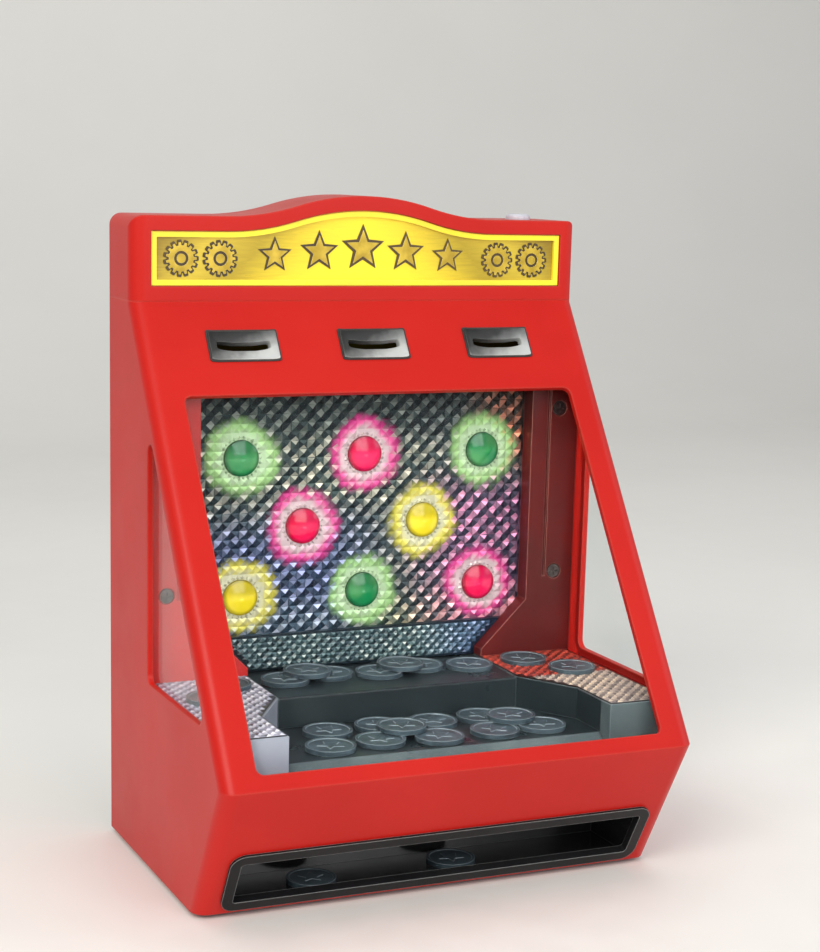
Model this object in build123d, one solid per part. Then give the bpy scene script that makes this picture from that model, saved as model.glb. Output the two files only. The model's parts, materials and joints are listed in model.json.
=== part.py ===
from build123d import *
from math import asin, atan2, cos, hypot, pi, sin
import os

# Tabletop coin pusher machine: a red plastic cabinet with a sloping window, a
# sliding pusher shelf over a fixed bed, three coin slots and a crested marquee.
# X runs to the player's right, Y to the back and Z up. The origin is on the
# table under the middle of the cabinet. Sizes are in millimetres.

# ---------------------------------------------------------------- cabinet sizes
width = 200.0
depth = 148.0
flat_height = 264.0          # top of the header at its flat ends
crest_rise = 9.0             # how far the middle of the top stands above the ends
crest_run = 60.0             # half the width of the crest
nose_height = 60.0           # height of the foremost edge
base_setback = 33.0          # base front behind the nose
header_setback = 116.0       # header front behind the nose
crease_height = 230.0        # where the sloping front meets the upright header
wall = 2.4
corner_radius = 6.0
inner_corner_radius = 2.0
top_corner_radius = 5.0      # where the top turns down into the sides
foot_height = 2.0
foot_radius = 6.5
foot_recess = 1.0

# ------------------------------------------------------------------- clearances
seat_gap = 0.3               # between pieces that seat against each other
slide_gap = 0.3              # beside and under the pusher shelf
pin_gap = 0.05               # radial, round pins and screws

# ---------------------------------------------------------------------- windows
window_half_width = 86.0
window_low = 6.5             # along the slope, from the nose
window_high = 163.0
window_radius = 3.0
pane = 1.5
pane_overlap = 3.0
side_window_floor = 79.0
side_window_back = 95.0      # from the nose
side_window_margin = 8.0     # square to the front slope
side_window_radius = 4.0

# --------------------------------------------------------------------- playfield
coin_diameter = 20.0
coin_thickness = 2.0
coin_gap = 0.12              # under each resting coin
coin_pitch = coin_diameter + 1.0    # between neighbours lying in a row
bed_height = 62.0
bed_thickness = 2.4
bed_front = 24.0             # from the nose
bed_back = 110.0
ramp_run = 8.0
ramp_drop = 7.0
rail_width = 4.0
rail_height = 3.0
ledge_height = 75.6
ledge_inner_x = 69.0
wing_front = 44.0            # where the ledge starts to widen, from the nose
foil = 0.4
shelf_half_width = 53.5
shelf_height = 75.0
shelf_front = 69.0           # from the nose, at the end of its forward stroke
shelf_back = 116.0
shelf_wall = 2.4
backboard_front = 112.0      # from the nose
backboard_thickness = 1.5
backboard_half_width = 92.0
backboard_top = 199.0
backboard_foot = 78.0
skirt_gap = 0.8              # over the shelf
skirt_top = 91.0
frame_depth = 8.0
frame_inner_x = 75.0
deflector_lip = 3.2          # upright lower edge of the leaning deflector

# ------------------------------------------------------------------------ lights
light_pitch_x = 55.0
light_rows = (166.0, 136.5, 107.5)
light_radius = 7.4
lens_flange = 1.3
lens_rise = 2.6
lamp_radius = 2.5
led_board_back = 12.0        # behind the backboard
board_thickness = 1.6

# -------------------------------------------------------------------- coin slots
slot_pitch = 57.0
slot_along = 185.0           # slot centre along the slope, from the nose
slot_width = coin_diameter + 3.0
slot_opening = 5.0
bezel_flange = (29.0, 13.0)
bezel_body = (26.0, 10.5)
bezel_rise = 1.0
chute_low = 199.0
chute_rise = 17.0
chute_run = 15.5
lane_wall = 1.6

# ----------------------------------------------------------------------- marquee
sign_half_width = 92.0
sign_low = 236.0
sign_high = 258.0            # at the flat ends
sign_lip = 2.5               # sign panel behind the edge of its opening
sign_thickness = 1.5
border_width = 2.2
border_thickness = 1.6
relief = 0.7
cog_radius = 6.4
cog_teeth = 15
star_radius = 7.6

# ------------------------------------------------------------------ start button
button_x = 79.0
button_radius = 5.4
button_travel = 1.5
button_rise = 2.4
button_flange = 7.2

# -------------------------------------------------------------------- coin tray
tray_half_width = 88.0
tray_low = 6.5
tray_high = 28.0
tray_back = 62.0             # from the nose
tray_wall = 1.6
tray_radius = 3.0
tray_rim = 3.0
tray_rim_rise = 1.2
chute_throat = 12.0          # ceiling edge behind the opening's top

# --------------------------------------------------------------------- mechanism
gear_to_cover = 1.52         # between the crank gear's teeth and the back cover
crank_radius = 6.0
crank_pin_radius = 2.0
yoke_play = 1.6              # beside the pin, where the slot is left open
yoke_thickness = 4.0
yoke_web = 3.6
yoke_half_width = 14.0
gear_module = 0.8
crank_teeth = 36
pinion_teeth = 12
gear_thickness = 5.0
gear_backlash = 0.24
tooth_tip = 0.85             # in modules, outside the pitch circle
tooth_root = 1.2             # in modules, inside the pitch circle
centre_play = 0.15
axle_radius = 2.0
deck_height = 46.0
deck_thickness = 3.0
deck_leg_radius = 4.0
motor_shaft_radius = 1.5
gearcase = (28.0, 22.0, 22.0)
motor_radius = 10.0
motor_length = 18.0

# ------------------------------------------------------------- electrical pieces
cell_radius = 7.2
cell_length = 50.0
cell_count = 3
cell_pitch = 15.4
battery_x = 54.0
battery_gap = 2.0            # behind the coin tray
battery_wall = 1.6
contact = 0.5
door_gap = 0.3
speaker_x = 58.0
speaker_z = 50.0
speaker_radius = 18.0
speaker_rim = 3.0
magnet_radius = 9.0
magnet_depth = 7.0
main_board_x = -75.0
main_board_from_nose = 100.0
main_board_size = (36.0, 58.0)
standoff_height = 7.0
switch_x = -58.0
switch_z = 60.0
switch_travel = 4.0
switch_pocket = (17.0, 9.0, 3.6)
switch_can = (18.0, 9.0, 6.0)

# ----------------------------------------------------------------------- screws
screw_radius = 1.45
screw_head_radius = 2.9
screw_head_height = 1.5
screw_length = 9.0
boss_radius = 3.6
boss_length = 13.0
boss_inset = 6.4             # boss centre in from the cabinet's outer side

# --------------------------------------------------------------- derived places
nose_y = -depth / 2
back_y = depth / 2
inner_x = width / 2 - wall
base_z = foot_height
floor_z = base_z + wall
header_y = nose_y + header_setback
crest_height = flat_height + crest_rise
slope_run = header_setback
slope_rise = crease_height - nose_height
slope_length = hypot(slope_run, slope_rise)
undercut_rise = nose_height - base_z
undercut_length = hypot(base_setback, undercut_rise)
cover_y = back_y - wall
backboard_y = nose_y + backboard_front
backboard_rear = backboard_y + backboard_thickness
led_board_y = backboard_rear + led_board_back
bed_under = bed_height - bed_thickness
shelf_y = nose_y + shelf_front
shelf_rear = nose_y + shelf_back
deck_top = deck_height + deck_thickness
gear_low = deck_top + 0.6
crank_pitch_radius = gear_module * crank_teeth / 2
crank_y = cover_y - gear_to_cover - crank_pitch_radius - tooth_tip * gear_module
pin_rest_y = crank_y - crank_radius
yoke_low = bed_height + slide_gap + 0.3
pinion_pitch_radius = gear_module * pinion_teeth / 2
pinion_x = -(crank_pitch_radius + pinion_pitch_radius + centre_play)
boss_x = width / 2 - boss_inset
coin_radius = coin_diameter / 2


def undercut_y(z, inset=0.0):
    """Y of the lower front skin, or of a surface inset behind it, at height z."""
    lean = base_setback / undercut_rise
    return nose_y + (nose_height - z) * lean + inset * undercut_length / undercut_rise


def slope_y(z, inset=0.0):
    """Y of the sloping front skin, or of a surface inset behind it, at height z."""
    lean = slope_run / slope_rise
    return nose_y + (z - nose_height) * lean + inset * slope_length / slope_rise


def nose_z(inset):
    """Height where the inset lower front and sloping front surfaces meet."""
    shift = inset * (undercut_length / undercut_rise - slope_length / slope_rise)
    return nose_height + shift / (base_setback / undercut_rise + slope_run / slope_rise)


def crease_z(inset):
    """Height where the inset sloping front and header surfaces meet."""
    shift = inset * (slope_length / slope_rise - 1)
    return crease_height - shift * slope_rise / slope_run


def cabinet_outline(inset, low, high, rear):
    """Side outline of the cabinet in (y, z), inset behind the front skin."""
    return [
        (undercut_y(low, inset), low),
        (undercut_y(nose_z(inset), inset), nose_z(inset)),
        (header_y + inset, crease_z(inset)),
        (header_y + inset, high),
        (rear, high),
        (rear, low),
    ]


# ---------------------------------------------------------------- shape helpers
def polygon(points):
    return make_face(Polyline(*points, close=True))


def box(x_range, y_range, z_range):
    """Block between two planes on each axis."""
    size = [high - low for low, high in (x_range, y_range, z_range)]
    middle = [(high + low) / 2 for low, high in (x_range, y_range, z_range)]
    return Pos(*middle) * Box(*size)


def prism_x(points, x_low, x_high):
    """Solid with a (y, z) outline between two X planes."""
    return extrude(Plane.YZ.offset(x_low) * polygon(points), amount=x_high - x_low)


def prism_y(face, y_low, y_high):
    """Solid with an (x, z) outline between two Y planes."""
    return extrude(Plane.XZ.offset(-y_high) * face, amount=y_high - y_low)


def prism_z(face, z_low, z_high):
    """Solid with an (x, y) outline between two Z planes."""
    return extrude(Plane.XY.offset(z_low) * face, amount=z_high - z_low)


def rod_y(x, z, radius, y_low, y_high):
    return prism_y(Pos(x, z) * Circle(radius), y_low, y_high)


def rod_z(x, y, radius, z_low, z_high):
    return prism_z(Pos(x, y) * Circle(radius), z_low, z_high)


def panel_block(plane, size, radius, centre, low, high):
    """Rounded block on a sloping plane, between two distances from the plane."""
    face = Pos(*centre) * RectangleRounded(size[0], size[1], radius)
    return extrude(plane.offset(low) * face, amount=high - low)


def joined(solids):
    """All the given shapes, joined into one."""
    total = solids[0]
    for solid in solids[1:]:
        total += solid
    return total


def grouped(solids):
    """Separate shapes kept side by side in one node."""
    return Compound(children=[piece for solid in solids for piece in solid.solids()])


def mirrored(solid):
    return mirror(solid, about=Plane.YZ)


slope_plane = Plane(origin=(0, nose_y, nose_height), x_dir=(1, 0, 0), z_dir=(0, -slope_rise, slope_run))
undercut_plane = Plane(
    origin=(0, undercut_y(base_z), base_z), x_dir=(1, 0, 0), z_dir=(0, -undercut_rise, -base_setback)
)


# ------------------------------------------------------------------------ shell
def crested_face(half_width, low, high, rise, corner=0.0):
    """Front outline with flat ends and an ogee crest made of four tangent arcs."""
    lean = 2 * atan2(rise, crest_run)
    middle = (-crest_run / 2, high + rise / 2)
    left = [
        Line((-half_width, low), (-half_width, high)),
        Line((-half_width, high), (-crest_run, high)),
        TangentArc((-crest_run, high), middle, tangent=(1, 0)),
        TangentArc(middle, (0, high + rise), tangent=(cos(lean), sin(lean))),
    ]
    right = [mirror(edge, about=Plane.YZ) for edge in left]
    face = make_face(left + right + [Line((-half_width, low), (half_width, low))])
    if not corner:
        return face
    top_corners = [
        vertex for vertex in face.vertices()
        if abs(abs(vertex.X) - half_width) < 0.01 and vertex.Y > low + 1
    ]
    return fillet(top_corners, corner)


def rounded_block(points, half_width, radius):
    """Cabinet outline across the width, with its front side edges rounded."""
    block = extrude(Plane.YZ * polygon(points), amount=half_width, both=True)
    rear = max(y for y, z in points)
    edges = [
        edge
        for edge in block.edges()
        if abs(edge.tangent_at(0.5).Z) > 0.1 and edge.center().Y < rear - 1
    ]
    return fillet(edges, radius)


def cabinet_shell():
    """Hollow cabinet, open at the back and underneath."""
    outer = rounded_block(cabinet_outline(0, base_z, crest_height, back_y), width / 2, corner_radius)
    outer_face = crested_face(width / 2, 0, flat_height, crest_rise, top_corner_radius)
    outer &= prism_y(outer_face, nose_y - 1, back_y + 1)
    lowered = flat_height - wall
    inner_points = cabinet_outline(wall, base_z - 1, lowered + crest_rise, back_y + 1)
    inner = rounded_block(inner_points, inner_x, inner_corner_radius)
    inner_face = crested_face(inner_x, 0, lowered, crest_rise, top_corner_radius - wall)
    inner &= prism_y(inner_face, nose_y - 1, back_y + 2)
    return outer - inner


def rear_bosses(heights):
    """Screw posts for the back cover, one on each side at each height."""
    posts = []
    for side in (-1, 1):
        for height in heights:
            low, high = cover_y - boss_length, cover_y
            post = rod_y(side * boss_x, height, boss_radius, low, high)
            span = sorted((side * boss_x, side * (inner_x + wall / 2)))
            web = box(span, (low, high), (height - 1, height + 1))
            posts.append(post + web)
    return posts


def screw_hole_y(x, z):
    return rod_y(x, z, screw_radius + pin_gap, cover_y - boss_length + 2, cover_y + 1)


def base_boss_places():
    front = undercut_y(floor_z, wall) + boss_radius + 4
    rear = cover_y - boss_radius - 3
    return [(side * boss_x, y) for side in (-1, 1) for y in (front, rear)]


def base_bosses():
    """Screw posts for the base plate, webbed to the side walls."""
    posts = []
    for x, y in base_boss_places():
        post = rod_z(x, y, boss_radius, floor_z, floor_z + boss_length)
        side = 1 if x > 0 else -1
        span = sorted((x, side * (inner_x + wall / 2)))
        posts.append(post + box(span, (y - 1, y + 1), (floor_z, floor_z + boss_length)))
    return posts


def bed_rails():
    """Ribs on the inside of the side walls that carry the playfield bed."""
    rails = []
    for side in (-1, 1):
        span = sorted((side * (inner_x - rail_width), side * (inner_x + wall / 2)))
        y_range = (nose_y + bed_front + 8, nose_y + bed_back)
        rails.append(box(span, y_range, (bed_under - rail_height, bed_under)))
    return rails


def side_window_face(growth=0.0):
    """Three-cornered side window in (y, z), with its front edge along the slope."""
    back = nose_y + side_window_back
    lean = slope_run / slope_rise
    front = slope_y(side_window_floor, side_window_margin)
    apex = side_window_floor + (back - front) / lean
    face = polygon([(back, side_window_floor), (back, apex), (front, side_window_floor)])
    face = fillet(face.vertices(), side_window_radius)
    return offset(face, growth) if growth else face


body_boss_heights = (32.0, 120.0, 208.0)
header_boss_height = 246.0


def cabinet_body(shell):
    """Everything below the crease: sloping front, undercut, sides and ribs."""
    body = shell & box((-width, width), (-depth, depth), (0, crease_height))
    body += joined(rear_bosses(body_boss_heights) + base_bosses() + bed_rails())
    window_size = (2 * window_half_width, window_high - window_low)
    window_middle = (0, (window_high + window_low) / 2)
    body -= panel_block(slope_plane, window_size, window_radius, window_middle, -wall - 2, 2)
    body -= extrude(Plane.YZ * side_window_face(), amount=width, both=True)
    for side in (-1, 0, 1):
        size = [value + 2 * seat_gap for value in bezel_body]
        centre = (side * slot_pitch, slot_along)
        body -= panel_block(slope_plane, size, 2.0, centre, -wall - 3, 2)
    body -= tray_opening(0.0, -wall - 3, 3)
    for x in (-boss_x, boss_x):
        for height in body_boss_heights:
            body -= screw_hole_y(x, height)
    for x, y in base_boss_places():
        body -= rod_z(x, y, screw_radius + pin_gap, base_z - 1, floor_z + boss_length - 2)
    return body


def sign_face(inset):
    """Marquee outline, shrunk by an inset on every side."""
    return crested_face(sign_half_width - inset, sign_low + inset, sign_high - inset, crest_rise)


def header_shell(shell):
    """Upright crested header with the marquee opening and the button hole."""
    header = shell & box((-width, width), (-depth, depth), (crease_height, crest_height + 1))
    header += joined(rear_bosses((header_boss_height,)))
    header -= prism_y(sign_face(0), header_y - 1, header_y + wall + 1)
    hole = rod_z(button_x, button_y(), button_radius + seat_gap, flat_height - wall - 2, flat_height + 1)
    header -= hole
    for x in (-boss_x, boss_x):
        header -= screw_hole_y(x, header_boss_height)
    return header


def cover_screw_places():
    heights = body_boss_heights + (header_boss_height,)
    return [(x, height) for x in (-boss_x, boss_x) for height in heights]


def back_cover():
    """Rear panel with vents, a speaker grille and a sunk power switch pocket."""
    half = inner_x - seat_gap
    top = flat_height - wall - seat_gap
    cover_face = crested_face(half, floor_z, top, crest_rise, top_corner_radius - wall)
    cover = prism_y(cover_face, cover_y, back_y)
    pocket_x, pocket_z, pocket_depth = switch_pocket
    boss_y = back_y - pocket_depth - 1.6
    cover += box(
        (switch_x - pocket_x / 2 - 2, switch_x + pocket_x / 2 + 2),
        (boss_y, cover_y),
        (switch_z - pocket_z / 2 - 2, switch_z + pocket_z / 2 + 2),
    )
    cover -= box(
        (switch_x - pocket_x / 2, switch_x + pocket_x / 2),
        (back_y - pocket_depth, back_y + 1),
        (switch_z - pocket_z / 2, switch_z + pocket_z / 2),
    )
    cover -= box(
        (switch_x - 6.2, switch_x + 6.2), (boss_y - 1, back_y), (switch_z - 1.9, switch_z + 1.9)
    )
    for ring, count in ((0.0, 1), (5.0, 6), (10.0, 12), (14.5, 18)):
        for index in range(count):
            angle = 2 * pi * index / count
            x = speaker_x + ring * cos(angle)
            cover -= rod_y(x, speaker_z + ring * sin(angle), 1.1, cover_y - 1, back_y + 1)
    for index in range(7):
        z = 150 + 6.5 * index
        cover -= box((-32, 32), (cover_y - 1, back_y + 1), (z, z + 2.2))
    for x, z in cover_screw_places():
        cover -= rod_y(x, z, screw_radius + seat_gap, cover_y - 1, back_y + 1)
        cover -= rod_y(x, z, screw_head_radius + seat_gap, back_y - screw_head_height, back_y + 1)
    return cover


def back_screws():
    screws = []
    for x, z in cover_screw_places():
        head_low = back_y - screw_head_height
        head = rod_y(x, z, screw_head_radius, head_low, back_y - 0.1)
        head -= box((x - 2, x + 2), (back_y - 0.7, back_y), (z - 0.35, z + 0.35))
        head -= box((x - 0.35, x + 0.35), (back_y - 0.7, back_y), (z - 2, z + 2))
        screws.append(head + rod_y(x, z, screw_radius, head_low - screw_length, head_low + 0.5))
    return grouped(screws)


# ------------------------------------------------------------------------- base
def battery_inner():
    """Inner half sizes of the battery box along X and Y."""
    return cell_pitch * cell_count / 2 + 0.4, cell_length / 2 + 3.4


def battery_y():
    """Middle of the battery box, which stands just behind the coin tray."""
    return nose_y + tray_back + battery_gap + battery_wall + battery_inner()[1]


def foot_places():
    front = undercut_y(base_z) + foot_radius + 9
    rear = back_y - foot_radius - 12
    return [(side * (width / 2 - 22), y) for side in (-1, 1) for y in (front, rear)]


def base_plate():
    """Bottom panel with the battery hatch, foot recesses and deck leg spigots."""
    half = inner_x - seat_gap
    front = undercut_y(base_z, wall) + seat_gap
    plate = box((-half, half), (front, cover_y - seat_gap), (base_z, floor_z))
    corners = plate.edges().filter_by(Axis.Z).sort_by(Axis.Y)[:2]
    plate = fillet(corners, inner_corner_radius)
    half_x, half_y = battery_inner()
    plate -= box(
        (battery_x - half_x, battery_x + half_x),
        (battery_y() - half_y, battery_y() + half_y),
        (base_z - 1, floor_z + 1),
    )
    for x, y in foot_places():
        plate -= rod_z(x, y, foot_radius + pin_gap, base_z - 1, base_z + foot_recess)
    for x, y in base_boss_places():
        plate -= rod_z(x, y, screw_radius + seat_gap, base_z - 1, floor_z + 1)
        plate -= rod_z(x, y, screw_head_radius + seat_gap, base_z - 1, base_z + screw_head_height)
    for x, y in standoff_places():
        plate += rod_z(x, y, 2.6, floor_z, floor_z + standoff_height)
    return plate


def rubber_feet():
    return grouped([rod_z(x, y, foot_radius, 0, base_z + foot_recess) for x, y in foot_places()])


def base_screws():
    screws = []
    for x, y in base_boss_places():
        head_top = base_z + screw_head_height
        head = rod_z(x, y, screw_head_radius, base_z + 0.1, head_top)
        head -= box((x - 2, x + 2), (y - 0.35, y + 0.35), (base_z, base_z + 0.8))
        screws.append(head + rod_z(x, y, screw_radius, head_top - 0.5, head_top + screw_length))
    return grouped(screws)


def battery_box():
    """Open-bottomed box over the cells, standing on the base plate."""
    half_x, half_y = battery_inner()
    top = floor_z + 2 * cell_radius + 1.2
    outer = box(
        (battery_x - half_x - battery_wall, battery_x + half_x + battery_wall),
        (battery_y() - half_y - battery_wall, battery_y() + half_y + battery_wall),
        (floor_z, top + battery_wall),
    )
    return outer - box(
        (battery_x - half_x, battery_x + half_x),
        (battery_y() - half_y, battery_y() + half_y),
        (floor_z - 1, top),
    )


def cell_places():
    first = battery_x - cell_pitch * (cell_count - 1) / 2
    return [first + cell_pitch * index for index in range(cell_count)]


def battery_cells():
    """Cylindrical cells with their raised end buttons, lying along Y."""
    z = floor_z + cell_radius + 0.3
    cells = []
    for index, x in enumerate(cell_places()):
        low, high = battery_y() - cell_length / 2, battery_y() + cell_length / 2
        flip = index % 2 == 0
        can = (low, high - 1.4) if flip else (low + 1.4, high)
        nub = (high - 1.5, high) if flip else (low, low + 1.5)
        cells.append(rod_y(x, z, cell_radius, *can) + rod_y(x, z, 2.7, *nub))
    return grouped(cells)


def battery_contacts():
    """Plate and coil-stand-in contacts at both ends of each cell."""
    z = floor_z + cell_radius + 0.3
    half_y = battery_inner()[1]
    pieces = []
    for x in cell_places():
        for end in (-1, 1):
            wall_y = battery_y() + end * half_y
            span = sorted((wall_y, wall_y - end * contact))
            plate = box((x - 5, x + 5), span, (z - 4.5, z + 4.5))
            reach = sorted((wall_y - end * contact / 2, wall_y - end * 3.1))
            pieces.append(plate + rod_y(x, z, 2.2, *reach))
    return grouped(pieces)


def battery_door():
    """Hatch in the base plate, with finger ribs."""
    half_x, half_y = battery_inner()
    door = box(
        (battery_x - half_x + door_gap, battery_x + half_x - door_gap),
        (battery_y() - half_y + door_gap, battery_y() + half_y - door_gap),
        (base_z, floor_z - 0.2),
    )
    for index in range(5):
        y = battery_y() + half_y - 8 - 3 * index
        door -= box((battery_x - 9, battery_x + 9), (y - 0.6, y + 0.6), (base_z - 1, base_z + 0.7))
    return door


# ------------------------------------------------------------------------- panes
def front_window():
    size = (
        2 * (window_half_width + pane_overlap),
        window_high - window_low + 2 * pane_overlap,
    )
    middle = (0, (window_high + window_low) / 2)
    return panel_block(slope_plane, size, window_radius, middle, -wall - pane, -wall)


def side_window_right():
    face = side_window_face(pane_overlap)
    return extrude(Plane.YZ.offset(inner_x - pane) * face, amount=pane)


# -------------------------------------------------------------------- coin slots
def slot_height():
    """Z of the middle of the coin slots."""
    return nose_height + slot_along * slope_rise / slope_length


def slot_bezel(side):
    """Flanged surround pressed into the front, with a level slot through it."""
    centre = (side * slot_pitch, slot_along)
    bezel = panel_block(slope_plane, bezel_flange, 2.6, centre, 0, bezel_rise)
    bezel += panel_block(slope_plane, bezel_body, 1.8, centre, -wall, bezel_rise / 2)
    middle_z = slot_height() - wall / 2 * slope_run / slope_length
    opening = Pos(side * slot_pitch, middle_z) * RectangleRounded(slot_width, slot_opening, 1.2)
    middle_y = slope_y(slot_height())
    return bezel - prism_y(opening, middle_y - 15, middle_y + 15)


def slot_chutes():
    """Leaning plate that turns coins down in front of the backboard, in three lanes."""
    low = (backboard_rear + seat_gap, chute_low)
    high = (low[0] + chute_run, chute_low + chute_rise)
    drop = 2.0
    plate_points = [low, high, (high[0], high[1] - drop), (low[0], low[1] - drop)]
    half = inner_x - seat_gap
    plate = prism_x(plate_points, -half, half)
    lane_half = slot_pitch / 2
    lane_top = high[1] + 6
    front_low = slope_y(low[1], wall) + seat_gap + 1
    lane_points = [
        (front_low, low[1]), (slope_y(lane_top, wall) + seat_gap + 1, lane_top),
        (high[0], lane_top), high, low,
    ]
    lanes = []
    for x in (-3 * lane_half, -lane_half, lane_half, 3 * lane_half):
        lanes.append(prism_x(lane_points, x - lane_wall / 2, x + lane_wall / 2))
    return joined([plate] + lanes)


# ----------------------------------------------------------------------- marquee
def marquee_panel():
    return prism_y(sign_face(-sign_lip), header_y + wall, header_y + wall + sign_thickness)


def marquee_border():
    ring = sign_face(seat_gap) - sign_face(seat_gap + border_width)
    return prism_y(ring, header_y + wall - border_thickness, header_y + wall)


def toothed_outline(teeth, root_radius, tip_radius, root_half, tip_half, phase=0.0):
    """Closed outline of straight-sided teeth; the halves are angles in radians."""
    points = []
    for index in range(teeth):
        middle = 2 * pi * index / teeth + phase
        steps = ((-root_half, root_radius), (-tip_half, tip_radius),
                 (tip_half, tip_radius), (root_half, root_radius))
        points += [(r * cos(middle + a), r * sin(middle + a)) for a, r in steps]
    return polygon(points)


def cog_places():
    middle = (sign_low + sign_high) / 2
    return [(side * x, middle) for side in (-1, 1) for x in (79.0, 62.5)]


def marquee_cogs():
    """Raised cog ornaments at both ends of the marquee."""
    pitch = pi / cog_teeth
    face = toothed_outline(cog_teeth, cog_radius - 1.2, cog_radius, 0.55 * pitch, 0.35 * pitch)
    face -= Circle(cog_radius - 3.4)
    cogs = []
    for x, z in cog_places():
        cogs.append(prism_y(Pos(x, z) * face, header_y + wall - relief, header_y + wall))
    return grouped(cogs)


def marquee_stars():
    """Row of raised five-pointed stars across the middle of the marquee."""
    middle = (sign_low + sign_high) / 2
    stars = []
    for index in range(-2, 3):
        size = star_radius * (1.0 - 0.12 * abs(index))
        points = []
        for corner in range(10):
            radius = size if corner % 2 == 0 else 0.42 * size
            angle = pi / 2 + corner * pi / 5
            points.append((radius * cos(angle), radius * sin(angle)))
        rise = crest_rise * (1 - abs(index) / 3) * 0.5
        face = Pos(index * 19.5, middle + rise) * polygon(points)
        stars.append(prism_y(face, header_y + wall - relief, header_y + wall))
    return grouped(stars)


# ------------------------------------------------------------------ start button
def button_y():
    return (header_y + back_y) / 2


def start_button():
    """Domed push button with a flange under the header's top."""
    under = flat_height - wall
    stem = rod_z(button_x, button_y(), button_radius, under - 0.5, flat_height + button_rise)
    stem = fillet(stem.edges().filter_by(GeomType.CIRCLE).sort_by(Axis.Z)[-1], 1.6)
    flange_top = under - 0.1
    return stem + rod_z(button_x, button_y(), button_flange, flange_top - 1.2, flange_top)


def start_switch():
    """Tact switch under the button, on a small board held at the side wall."""
    top = flat_height - wall - 0.1 - 1.2 - button_travel - 0.2
    x, y = button_x, button_y()
    body = box((x - 3, x + 3), (y - 3, y + 3), (top - 5, top - 1))
    plunger = rod_z(x, y, 1.7, top - 1.2, top)
    board = box((x - 13, inner_x - seat_gap), (y - 7, y + 7), (top - 5 - board_thickness, top - 5))
    return body + plunger + board


# ------------------------------------------------------------------- light panel
def light_places():
    """Centre of each light in (x, z) and the name of its colour."""
    top, middle, low = light_rows
    return [
        (-light_pitch_x, top, "green"), (0, top, "red"), (light_pitch_x, top, "green"),
        (-light_pitch_x / 2, middle, "red"), (light_pitch_x / 2, middle, "yellow"),
        (-light_pitch_x, low, "yellow"), (0, low, "green"), (light_pitch_x, low, "red"),
    ]


def led_post_places():
    middle, low = light_rows[1:]
    return [(side * light_pitch_x, z) for side in (-1, 1) for z in (middle + 2, low - 14)]


def backboard():
    """Foil-faced panel behind the playfield, with holes for the lights."""
    face = Pos(0, (backboard_top + backboard_foot) / 2) * Rectangle(
        2 * backboard_half_width, backboard_top - backboard_foot
    )
    board = prism_y(face, backboard_y, backboard_rear)
    for x, z, colour in light_places():
        board -= rod_y(x, z, light_radius + seat_gap, backboard_y - 1, backboard_rear + 1)
    for x, z in led_post_places():
        board += rod_y(x, z, 3.0, backboard_rear - 0.2, led_board_y)
    return board


def lens(x, z):
    """Domed lens with a flange behind the backboard."""
    rim = 1.0
    flange_y = -lens_flange - backboard_thickness
    rise = lens_rise - rim
    dome_radius = (light_radius ** 2 + rise ** 2) / (2 * rise)
    turn = asin(light_radius / dome_radius) / 2
    halfway = (dome_radius * sin(turn), lens_rise - dome_radius * (1 - cos(turn)))
    outline = Polyline(
        (0, lens_rise), (0, flange_y), (light_radius + 1.5, flange_y),
        (light_radius + 1.5, -backboard_thickness), (light_radius, -backboard_thickness),
        (light_radius, rim),
    )
    dome = ThreePointArc((light_radius, rim), halfway, (0, lens_rise))
    solid = revolve(make_face([outline, dome]), Axis.Y, 360)
    return Pos(x, backboard_y, z) * Rot(180, 0, 0) * solid


def lenses(colour):
    return grouped([lens(x, z) for x, z, name in light_places() if name == colour])


def led_lamps():
    lamps = []
    for x, z, colour in light_places():
        low = led_board_y - 8.0
        lamp = rod_y(x, z, lamp_radius, low, led_board_y)
        lamp = fillet(lamp.edges().filter_by(GeomType.CIRCLE).sort_by(Axis.Y)[0], 2.2)
        lamps.append(lamp + rod_y(x, z, lamp_radius + 0.5, led_board_y - 1.0, led_board_y))
    return grouped(lamps)


def led_board():
    top, low = light_rows[0], light_rows[-1]
    return box(
        (-light_pitch_x - 8, light_pitch_x + 8),
        (led_board_y, led_board_y + board_thickness),
        (low - 20, top + 9),
    )


# --------------------------------------------------------------- play chamber
def skirt_face():
    """Foil strip between the deflectors, just over the shelf."""
    low = shelf_height + skirt_gap
    knee = low + deflector_lip
    half = shelf_half_width + 0.2
    reach = skirt_top - knee
    right = [(half, low), (half, knee), (half + reach, skirt_top)]
    left = [(-x, z) for x, z in reversed(right)]
    return polygon(right + left)


def pusher_skirt():
    return prism_y(skirt_face(), backboard_y - 1.5, backboard_y)


def inner_frame_right():
    """Red side frame in front of the backboard, with a leaning deflector foot."""
    low = ledge_height + seat_gap
    knee = shelf_height + skirt_gap + deflector_lip
    inner = shelf_half_width + 0.2 + seat_gap
    rise = frame_inner_x - inner
    points = [
        (inner, low), (inner, knee), (frame_inner_x, knee + rise),
        (frame_inner_x, backboard_top), (inner_x - seat_gap, backboard_top),
        (inner_x - seat_gap, low),
    ]
    frame = prism_y(polygon(points), backboard_y - frame_depth, backboard_y)
    groove_x = (frame_inner_x + inner_x) / 2 - 3
    frame -= box(
        (groove_x - 0.8, groove_x + 0.8),
        (backboard_y - frame_depth - 1, backboard_y - frame_depth + 1.2),
        (knee + rise + 10, backboard_top - 6),
    )
    for x, z in frame_screw_places():
        if x > 0:
            face_y = backboard_y - frame_depth
            frame -= rod_y(x, z, screw_head_radius + 0.5, face_y - 1, face_y + screw_head_height)
            frame -= rod_y(x, z, screw_radius + pin_gap, face_y, face_y + frame_depth - 1)
    return frame


def frame_screw_places():
    x = (frame_inner_x + inner_x) / 2 + 2
    return [(side * x, z) for side in (-1, 1) for z in (112.0, 184.0)]


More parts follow.
